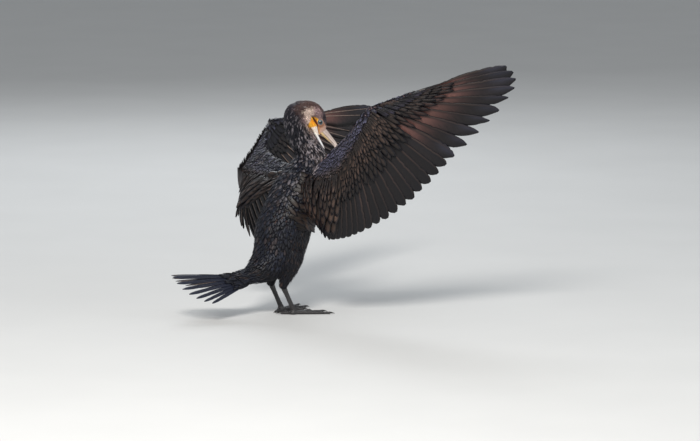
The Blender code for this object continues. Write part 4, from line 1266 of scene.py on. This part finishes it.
def scapular_rows(side):
    """Places on one shoulder, lengths, and the number of the row."""
    rows = []
    for row, share in itertools.product(range(5), np.linspace(0, 1, 9)):
        angle = math.radians(34 + row * 13)
        x, z, half_width, half_depth, slope = smooth_rows(TORSO, 7.7 - 2.0 * share - row * 0.1)
        out = LEFT * side * math.sin(angle) * half_width
        up = leaning_up(slope) * math.cos(angle) * half_depth
        rows.append((*(np.array((x, 0, z)) + out + up), 30 + 32 * share + row * 3, row))
    rows = np.array(rows)
    return rows[:, :3], rows[:, 3], rows[:, 4]


def grow_scapulars():
    """Long feathers that fall from each shoulder over the wing's root."""
    coat = Coat("scapulars", "covert")
    for side in SIDES.values():
        places, length, row = scapular_rows(side)
        count = len(places)
        places = places + rng.normal(0, 1.5, (count, 3))
        start, _, _ = SKIN.nearest(places)
        lie = unit(lie_of(start) + LEFT * side * (0.25 + 0.12 * row)[:, None])
        length = length * varied(count, 0.08) * varied(count, 0.14)
        width = 13 + 3 * rng.random(count)
        grid, up, bake, _ = grow(places, length, width, 5.5 + row, ROUND, 8, 4, spread=0.22, lie=lie)
        # each scapular gets a painted highlight on its outer half and painted shade toward its covered root
        coat.add(grid, up, covert_colour_and_painted_light(BRONZE * 0.6, grid), (BLACK, 0.95), bake, LONG_VANE)
    coat.make()


# Feathers of the wings and the tail

def surface_vanes(surface, place, start, end, width, shape, rows, cols, lift=0.0, tilt=VANE_TILT, outer=0.36,
                  notch=0.0, notch_power=6, camber=0.05, least_pitch=1.0):
    """Vanes on a wing or the tail, each about its own place and from one share of the way to another."""
    count = len(place)
    along, across = on_vane(rows, cols)
    start, end, width, lift = [(value * np.ones(count))[:, None, None] for value in (start, end, width, lift)]
    place = place[:, None, None]
    v = start + (end - start) * along
    middle, beside = surface.point(place, v), surface.point(place + 0.5, v)
    pitch = np.maximum(np.linalg.norm(beside - middle, axis=-1) * 2, least_pitch)
    frayed = 1 - notch * rng.random((count, rows + 1, 1)) ** notch_power * (along > 0.3)
    web = np.where(across < 0, across * 2 * outer, across * 2 * (1 - outer))
    reach = web * (width * between(shape, along) / 2) * frayed
    height = lift - tilt * (reach / pitch) + camber * width * (1 - across ** 2)
    grid = surface.point(place + reach / pitch, v, height)
    return grid, unit(surface.up(place[:, 0, 0]))


def atlas(count, columns):
    """A cell of the bake map for each long feather, too big for one patch at its root."""
    k = np.arange(count)
    cell = np.array((1 / columns, 1 / math.ceil(count / columns)))
    place = np.stack([(k % columns + 0.5), (k // columns + 0.5)], -1) * cell
    return place, np.tile(cell * CELL_SHARE, (count, 1))


def flight_colour_and_painted_light(kind, rows, cols, count):
    """Black, with a painted highlight as a thin paler line along the outer edge; above, the primaries are
    rusty with a painted sheen, and greyer at the tip with a painted highlight.
    """
    along, across = on_vane(rows, cols)
    colour = mix(BLACK * 0.7, BROWN * 0.6, 0.2 + 0.2 * across)
    # painted highlight: a thin paler line along the outer edge
    edge = np.exp(-((across + 0.80) / 0.13) ** 2) * (0.45 if kind == "primary" else 0.6)
    colour = mix(colour, BRONZE, edge * smoothstep(0.1, 0.5, along))
    if kind == "primary":
        # painted sheen: a rusty band round the middle of each primary, away from its outer edge
        painted_sheen = np.exp(-((along - 0.40) / 0.18) ** 2) * smoothstep(-0.75, -0.1, across)
        colour = mix(colour, RUST * 1.1, painted_sheen * 0.9)
        # painted highlight: greyer toward the tip
        colour = mix(colour, STEEL, smoothstep(0.7, 1.0, along) * smoothstep(0.6, -0.6, across) * 0.45)
    tint = 1 + 0.5 * rng.random(count) ** 2 - 0.15
    return colour * tint[:, None, None, None]


def covert_colour_and_painted_light(light, grid):
    """Dark feathers with a painted highlight over the outer half toward the tip and painted shade toward the
    covered root; the highlight is much brighter on some feathers than on others.
    """
    along, across = on_vane(grid.shape[1] - 1, grid.shape[2] - 1)
    # painted highlight toward the tip; none at the covered root, which is left dark as painted shade
    painted_highlight = np.exp(-((across + 0.15) / 0.6) ** 2) * smoothstep(0.45, 0.85, along)
    # how strong each feather's painted highlight is, drawn at random
    shade = (0.25 + 0.75 * rng.random(len(grid)) ** 1.6)[:, None, None]
    return mix(light * 0.12, light * 1.35, painted_highlight * shade)


def grow_flight(wing):
    """Primaries, secondaries and tertials of one wing, in place of its flesh."""
    coat = Coat(f"flight_{wing.name}", "flight")
    cells, patch = atlas(WING_FEATHERS, 16)
    lasts = [kind[0] for kind in FLIGHT_KINDS.values()][1:] + [WING_FEATHERS]
    rows, cols = 36, 8
    for (kind, (first, width, shape, outer)), last in zip(FLIGHT_KINDS.items(), lasts):
        place = np.arange(first, last, dtype=float)
        end = 1 - 0.012 * rng.random(len(place))
        grid, up = surface_vanes(wing, place, 0.0, end, width * varied(len(place), 0.03), shape, rows, cols,
                                 outer=outer, notch=0.2, camber=0.02)
        coat.add(grid, up, flight_colour_and_painted_light(kind, rows, cols, len(place)), (BLACK * 0.7, 0.6),
                 cells[first:last], FLIGHT_VANE, patch[first:last])
    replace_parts(coat.make(), f"wing_{wing.name}_arm", f"wing_{wing.name}_hand")


def grow_coverts(wing):
    """Rows of coverts over and under the feathers' roots, the smallest by the bones."""
    coat = Coat(f"coverts_{wing.name}", "covert")
    rows, cols = 8, 4
    for first, last, step, start, end, width, lift, shape, light in COVERTS:
        place = np.arange(first, last, step)
        count = len(place)
        place = place + rng.normal(0, 0.13, count)
        shift = rng.normal(0, 0.016 if first > 24 else 0.009, count)
        side = 1 if lift > 0 else -1
        width = width * varied(count, 0.1)
        grid, up = surface_vanes(wing, place, start + shift, end + shift * 1.5, width, shape, rows, cols,
                                 lift * varied(count, 0.06), VANE_TILT * side * 1.6, 0.46, 0.12,
                                 camber=0.05 * side)
        grid = grid + up[:, None, None] * (side * 1.1 * np.linspace(-0.8, 1, rows + 1))[:, None, None]
        # each covert gets a painted highlight and painted shade toward its covered root; the far wing is
        # darkened as painted shade
        coat.add(grid, up, covert_colour_and_painted_light(light * WING_PAINTED_SHADE[wing.name], grid), (BLACK * 0.7, 0.85),
                 bake_of(grid[:, 0, 2]), COVERT_VANE)
    coat.make()


def core_point(wing, ends, share, chord, above):
    """A point on the flesh of the wing, its normal and the way to the back edge."""
    start, end, face, size = ends(share)
    point = start + (end - start) * chord + face * wing_half(chord, size) * above
    return point * wing.mirror, face * above * wing.mirror, unit(start - end) * wing.mirror


def lesser_places(wing, ends, spans, first, above):
    """Places on one side of the arm or hand, the way back from each and its share of the chord."""
    points, ways, chords = [], [], []
    for i in range(int(spans * math.sqrt(DENSITY))):
        share = first + (1 - first) * (i + 0.5) / (spans * math.sqrt(DENSITY))
        start, end, _, _ = ends(share)
        steps = max(int(np.linalg.norm(end - start) / 8.0), 2)
        for j in range(steps):
            chord = 0.12 + 0.88 * (j + 0.5 * (i % 2)) / (steps - 0.5)
            point, _, way = core_point(wing, ends, share + rng.normal(0, 0.004), min(chord, 1), above)
            points.append(point)
            ways.append(way)
            chords.append(chord)
    return np.array(points), np.array(ways), np.array(chords)


def grow_lesser(wing):
    """Small scale-like feathers over the flesh of the arm and hand, above and below."""
    coat = Coat(f"lesser_{wing.name}", "covert")
    bones = ((wing.arm_ends, 34, 0.12), (wing.hand_ends, 15, 0))
    for (ends, spans, first), above in itertools.product(bones, (1, -1)):
        points, ways, chords = lesser_places(wing, ends, spans, first, above)
        length = varied(len(points), 0.12) * np.interp(chords, [0, 1], [21, 17])
        width = varied(len(points), 0.1) * np.interp(chords, [0, 1], [12.5, 11])
        grid, up, bake, _ = grow(points, length, width, 2.6, ROUND, 5, 4, 0.08, ways, 0.05)
        laid = np.linalg.norm(grid[:, -1, 2] - grid[:, 0, 2], axis=1) > LAID_SHARE * length
        light = mix(BRONZE * 0.9, (STEEL + PURPLE) * 1.4, smoothstep(0.35, 0.65, chords[laid]))
        # the far wing darkened as painted shade; each feather then gets a painted highlight and painted shade
        # toward its covered root
        light = light[:, None, None] * WING_PAINTED_SHADE[wing.name]
        coat.add(grid[laid], up[laid], covert_colour_and_painted_light(light, grid[laid]),
                 (BLACK * 0.5, 1.0), bake[laid], COVERT_VANE)
    coat.make()


def flat_vanes(points, normals, ways, length, width, rise, shape, rows, cols, camber=0.05):
    """Straight vanes that lie along a flat place, rising a little to the tip."""
    normals = unit(normals)
    ways = twisted(laid_along(ways, normals), normals, 0.09)
    side = np.cross(normals, ways)
    along, across = [value[..., None] for value in on_vane(rows, cols)]
    height = rise * along ** 0.8 - 0.4 * (along == 0) + camber * width * (1 - across ** 2)
    half = width * between(shape, along) / 2
    start, way, beside, out = [rows[:, None, None] for rows in (points, ways, side, normals)]
    grid = start + way * along * length[:, None, None, None] + beside * half * across + out * height
    return grid, normals


def grow_alula(wing):
    """The feathers of the thumb, over the roots of the hand's coverts."""
    coat = Coat(f"alula_{wing.name}", "covert")
    tip = wing.point(2.0, np.array(0.22), 9.0)
    steps = np.arange(ALULA_FEATHERS)
    points, normals, _ = [np.array(column) for column in zip(*(
        core_point(wing, wing.hand_ends, 0.22 + 0.06 * k, 0.62 - 0.15 * k, 1) for k in steps))]
    ways = unit(tip - points[0]) - LEFT * wing.mirror * 0.04 * steps[:, None]
    length = np.linspace(84, 52, ALULA_FEATHERS)
    grid, up = flat_vanes(points, normals, ways, length, 11.0, 3.5, BROAD, 14, 6)
    # the alula's painted highlight and shaded root, and the far wing darkened as painted shade
    colour = covert_colour_and_painted_light(THUMB * WING_PAINTED_SHADE[wing.name], grid)
    coat.add(grid, up, colour, (THUMB * 0.5, 0.6), bake_of(points), LONG_VANE)
    coat.make()


def grow_quills(name, surface, count, shares, lift, radii, sink):
    """Shafts along the middles of the vanes of a wing or the tail."""
    place = np.arange(count, dtype=float)
    centres = surface.point(place[:, None], np.linspace(*shares)[None], lift)
    normals = surface.up(place)[:, None]
    across = unit(np.cross(unit(np.gradient(centres, axis=1)), normals))
    turn = turns(6)[:, None]
    round_it = across[:, :, None] * np.cos(turn) + normals[:, :, None] * np.sin(turn)
    rings = centres[:, :, None] + np.linspace(*radii, shares[2])[:, None, None] * round_it
    shafts = [loft(shaft) for shaft in rings + normals[:, :, None] * sink]
    keep(new_object(name, joined(shafts), "quill"))


def grow_tail():
    """The tail's feathers and their quills, in place of its flesh."""
    coat = Coat("tail_feathers", "flight")
    rows, cols = 30, 6
    width = 12.5 * varied(TAIL_FEATHERS, 0.04)
    grid, up = surface_vanes(TAIL, np.arange(TAIL_FEATHERS, dtype=float), 0.0, 1.0, width, STRAP, rows, cols,
                             tilt=TAIL_STEP, outer=0.5, notch=0.14, notch_power=5, least_pitch=4)
    cells, patch = atlas(TAIL_FEATHERS, TAIL_FEATHERS)
    # the tail takes the flight feathers' painted edge highlight
    colour = mix(flight_colour_and_painted_light("secondary", rows, cols, TAIL_FEATHERS) * 0.5, TAIL_BLUE, 0.6)
    coat.add(grid, up, colour, (BLUE_BLACK * 1.5, 0.5), cells, FLIGHT_VANE, patch)
    feathers = coat.make()
    grow_quills("quills_tail", TAIL, TAIL_FEATHERS, *TAIL_QUILLS)
    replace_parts(feathers, "tail")


def grow_tail_coverts():
    """Coverts in rows over and under the roots of the tail."""
    coat = Coat("tail_coverts", "covert", "plumage")
    for lift, start, end, count, width in TAIL_COVERTS:
        place = np.linspace(-0.3, TAIL_FEATHERS - 0.7, count) + rng.normal(0, 0.15, count)
        grid, up = surface_vanes(TAIL, place, start, end * varied(count, 0.1), width, ROUND, 7, 4, lift,
                                 TAIL_STEP, 0.5, 0.1, 5, math.copysign(0.05, lift), 4)
        colour = mix(BLACK * 1.1, BLUE_BLACK * 1.4, rng.random(count))
        coat.add(grid, up, colour, (BLACK, 0.8), bake_of(grid[:, 0, 2]), COVERT_VANE)
    coat.make()


grow_head_and_neck()
grow_body()
grow_mantle()
grow_scapulars()
for name, wing in WING_SURFACES.items():
    grow_flight(wing)
    grow_coverts(wing)
    grow_lesser(wing)
    grow_alula(wing)
    grow_quills(f"quills_{name}", wing, WING_FEATHERS, *WING_QUILLS)
grow_tail()
grow_tail_coverts()


# Head: bill, eyes and lids

def painted_loft(name, rings, colour_of, material, *nodes):
    """A closed loft with its colour from its place, and a map round and along it."""
    rings = np.asarray(rings, float)
    rows, count = rings.shape[:2]
    obj = new_object(name, loft(rings), material)
    set_colour(obj.data, "Colour", colour_of(rings.reshape(-1, 3)))
    v, u = np.meshgrid(np.linspace(0, 1, rows), np.arange(count) / count, indexing="ij")
    uv = np.stack([np.abs(u * 2 - 1), v], -1).reshape(-1, 2)
    set_uv(obj.data, "Vane", uv, read(obj.data.loops, "vertex_index", 1, int)[:, 0])
    keep(obj, *nodes)


def upper_colour(points):
    x, _, z = in_head(points).T
    low = z - between(UPPER_STRAIGHT, x)
    colour = mix(UPPER_ROOT, UPPER_TIP, smoothstep(25, 60, x))
    colour = mix(colour, RIDGE, smoothstep(0.5, 3.5, low) * 0.35)
    colour = mix(colour, GROOVE_LINE, np.exp(-((low + 1.2) / 0.9) ** 2) * 0.85 * smoothstep(66, 56, x))
    return mix(colour, CUTTING_EDGE, smoothstep(-2.0, -3.6, low) * smoothstep(62, 40, x) * 0.9)


def lower_colour(points):
    x = in_head(points)[:, 0]
    return mix(mix(LOWER_ROOT, LOWER_SIDE, smoothstep(14, 28, x)), LOWER_TIP, smoothstep(44, 55, x) * 0.6)


def sunk(rings, sizes):
    """The rings with the first of them drawn in and back under the skin."""
    made = list(rings)
    for k, size in enumerate(sizes):
        middle = rings[k].mean(axis=0)
        back = np.array((-BILL_SINK * (1 - size) / (1 - BILL_ROOT[0]), 0, 0))
        made[k] = middle + (rings[k] - middle) * size + HEAD_TURN @ back
    return made


def build_upper_bill(count=32):
    angle = turns(count)
    groove = NOSTRIL_GROOVE * np.exp(-((np.abs(np.cos(angle)) - 0.93) / 0.05) ** 2) * (np.sin(angle) > 0)
    rings = []
    for x, z, half_depth, half_width, slope in resampled(UPPER_BILL, 44):
        centre = np.array((x, 0, z))
        ring = section(centre, LEFT, leaning_up(slope), half_width, half_depth, count)
        rings.append(on_head(ring - unit(ring - centre) * (groove * min(half_width / 6, 1))[:, None]))
    painted_loft("bill_upper", sunk(rings, BILL_ROOT), upper_colour, "upper_bill", "upper_bill")


def build_lower_bill():
    rings = []
    for x, top, bottom, half_width in resampled(LOWER_BILL, 30):
        ring = section(np.array((x, 0, (top + bottom) / 2)), LEFT, UP, half_width, (top - bottom) / 2, 24)
        trough = 0.35 * (top - bottom) * (1 - np.abs(ring[:, 1]) / half_width)
        ring[:, 2] = np.minimum(ring[:, 2], top - trough)
        rings.append(on_head(ring))
    painted_loft("bill_lower", sunk(rings, BILL_ROOT[1:]), lower_colour, "lower_bill", "lower_bill")


def build_eye(name, side):
    """A ball with its pupil and iris set by the distance from its axis."""
    mesh = bmesh.new()
    bmesh.ops.create_icosphere(mesh, subdivisions=5, radius=EYE_RADIUS)
    points = np.array([vert.co for vert in mesh.verts]) + LEFT * side * EYE_OFFSET
    faces = [[vert.index for vert in face.verts] for face in mesh.faces]
    mesh.free()
    eye = new_object(f"eyeball_{name}", (on_head(points), faces), "eye")
    set_value(eye.data, "Ring", np.hypot(points[:, 0], points[:, 2]) / EYE_RADIUS)
    keep(eye, f"eye_{name}")


def build_lids(name, side, count=40, around=10):
    """The thin granular ring of bare skin round the eye."""
    rings = []
    turn = turns(around)[:, None]
    for angle in turns(count):
        out = np.array((math.cos(angle), 0, math.sin(angle) * 0.94))
        size = 0.75 + 0.12 * math.sin(angle * 17)
        middle = LEFT * side * LID_RING[0] + out * LID_RING[1]
        rings.append(middle + out * size * 1.5 * np.cos(turn)
                     + LEFT * side * (size * np.sin(turn) - 0.35 * np.cos(turn)))
    lids = new_object(f"lids_{name}", closed_ring(rings), "skin")
    set_colour(lids.data, "Colour", np.tile(LID, (count * around, 1)))
    keep(lids)


# Legs

def build_tarsus(name, side, count=20, steps=64):
    mirror = np.array((1, side, 1))
    top, base = TARSUS_TOP * mirror, TARSUS_FOOT * mirror
    up = np.cross(unit(base - top), LEFT)
    front = np.clip(np.sin(turns(count)), 0, 1)[:, None]
    rings = []
    for share in -0.08 + 1.10 * np.arange(steps + 1) / steps:
        size, centre = between(TARSUS_SIZES, share), top + (base - top) * share
        ring = section(centre, LEFT, up, TARSUS_HALF_WIDTH * size, TARSUS_HALF_DEPTH * size, count)
        rings.append(ring + unit(ring - centre) * front * (SCUTE_DEPTH * abs(math.sin(share * 42))))
    keep(new_object(f"leg_{name}", loft(rings), "leg"), f"tarsus_{name}")


def toe_loft(corner, way, beside, length, joints):
    """A toe on the floor, thicker at its joints."""
    rings = []
    for along in np.linspace(0, 1, 15):
        radius = TOE_RADIUS * (1 - 0.4 * along) * (1 + 0.13 * math.sin(along * math.pi * joints * 2) ** 2)
        ring = section(corner + way * length * along + UP * radius * 0.8, beside, UP, radius, radius, 14)
        ring[:, 2] = np.maximum(ring[:, 2], 0.02)
        rings.append(ring)
    return loft(rings)


def claw_loft(tip, way, beside):
    rings = []
    for along in np.linspace(CLAW_START, 1, 12):
        size = between(CLAW_SIZES, along)
        centre = tip + way * CLAW_LENGTH * along + UP * (3.3 - 2.4 * max(along, 0) ** 2)
        rings.append(section(centre, beside, UP, size * 0.75, size, 10))
    return loft(rings)


def web_sheet(corner, near, far, rows=16, cols=16):
    """A thin web between two toes, its edge drawn back in a bay."""
    along = np.linspace(0.06, 0.97, rows)[:, None, None]
    across = np.linspace(0, 1, cols)[None, :, None]
    edge = (near * (1 - across) + far * across) - corner
    flat = corner + edge * along * (1 - WEB_BAY * across * (1 - across))
    by_toe = np.abs(2 * across - 1)
    ripple = 0.5 * np.sin(across * math.pi * 5) * along * (1 - by_toe)
    height = 2.4 - 0.9 * along + ripple + 0.3 * by_toe
    index = numbered(rows, cols)
    top = quads_of(index).tolist()
    faces = top + [[k + index.size for k in face[::-1]] for face in top]
    rim = np.concatenate([index[0, :-1], index[:-1, -1], index[-1, :0:-1], index[:0:-1, 0]]).tolist()
    faces += [[b, a, a + index.size, b + index.size] for a, b in zip(rim, rim[1:] + rim[:1])]
    sides = [(flat + UP * (height + half)).reshape(-1, 3) for half in (WEB_HALF, -WEB_HALF)]
    return np.concatenate(sides), faces


def build_foot(name, side):
    """Four toes with their claws, and webs between them."""
    base = TARSUS_FOOT * (1, side, 1)
    corner = base * (1, 1, 0)
    toes, claws, tips = [], [], []
    for toe, (angle, length) in TOES.items():
        turn = math.radians(angle + FOOT_YAW) * side
        way = np.array((math.cos(turn), math.sin(turn), 0.0))
        beside = np.array((-way[1], way[0], 0))
        tips.append(corner + way * length)
        toes.append(toe_loft(corner, way, beside, length, joints=1 if toe == "hind" else 3))
        claws.append(claw_loft(tips[-1], way, beside))
    heel = [section(corner + UP * height, FORWARD, LEFT, size * 1.15, size, 20) for height, size in HEEL]
    toes.append(loft(heel))
    foot = new_object(f"toes_{name}", joined(toes), "leg")
    keep(remeshed(foot, *FOOT_MESH), f"foot_{name}")
    webs = [web_sheet(corner, near, far) for near, far in zip(tips, tips[1:])]
    keep(new_object(f"webs_{name}", joined(webs), "leg"))
    keep(new_object(f"claws_{name}", joined(claws), "claw"))


build_upper_bill()
build_lower_bill()
for name, side in SIDES.items():
    build_eye(name, side)
    build_lids(name, side)
for name, side in SIDES.items():
    build_tarsus(name, side)
    build_foot(name, side)


# Floor, light and camera

def build_camera():
    yaw, down = math.radians(CAMERA_YAW), math.radians(CAMERA_DOWN)
    right = Vector((math.cos(yaw), -math.sin(yaw), 0))
    away = Vector((math.sin(yaw), math.cos(yaw), 0))
    look = away * math.cos(down) - Vector(UP) * math.sin(down)
    up = away * math.sin(down) + Vector(UP) * math.cos(down)
    pixel = MM_PER_PIXEL * MM
    middle = (Vector(SHIFT) * MM + right * (PHOTO_SIZE[0] / 2 - PHOTO_ORIGIN[0]) * pixel
              + up * (PHOTO_ORIGIN[1] - PHOTO_SIZE[1] / 2) * pixel)
    camera = linked("camera", bpy.data.cameras.new("camera"))
    turn = Matrix((right, up, -look)).transposed().to_4x4()
    camera.matrix_world = Matrix.Translation(middle - look * CAMERA_DISTANCE) @ turn
    camera.data.sensor_width = SENSOR
    camera.data.lens = SENSOR * CAMERA_DISTANCE / (PHOTO_SIZE[0] * pixel)
    camera.data.clip_end = 100.0
    bpy.context.scene.camera = camera


def build_floor():
    data = bpy.data.meshes.new("floor")
    corners = [(x * FLOOR_HALF, y * FLOOR_HALF, 0) for x, y in ((-1, -1), (1, -1), (1, 1), (-1, 1))]
    data.from_pydata(corners, [], [(0, 1, 2, 3)])
    data.materials.append(MATERIALS["floor"])
    floor = linked("floor", data)
    floor.location.z = -FLOOR_DROP


def build_light():
    world = bpy.data.worlds.new("world")
    world.use_nodes = True
    background = world.node_tree.nodes["Background"]
    background.inputs["Color"].default_value = WORLD_COLOUR
    background.inputs["Strength"].default_value = WORLD_STRENGTH
    bpy.context.scene.world = world
    for name, (place, target_height, size, power, colour) in LAMPS.items():
        lamp = bpy.data.lights.new(name, "AREA")
        lamp.size, lamp.energy, lamp.color = size, power, colour
        obj = linked(name, lamp)
        obj.location = place
        aim = Vector((0, 0, target_height)) - Vector(place)
        obj.rotation_euler = aim.to_track_quat("-Z", "Y").to_euler()


build_camera()
build_floor()
build_light()
bpy.context.scene.view_settings.view_transform = "Standard"
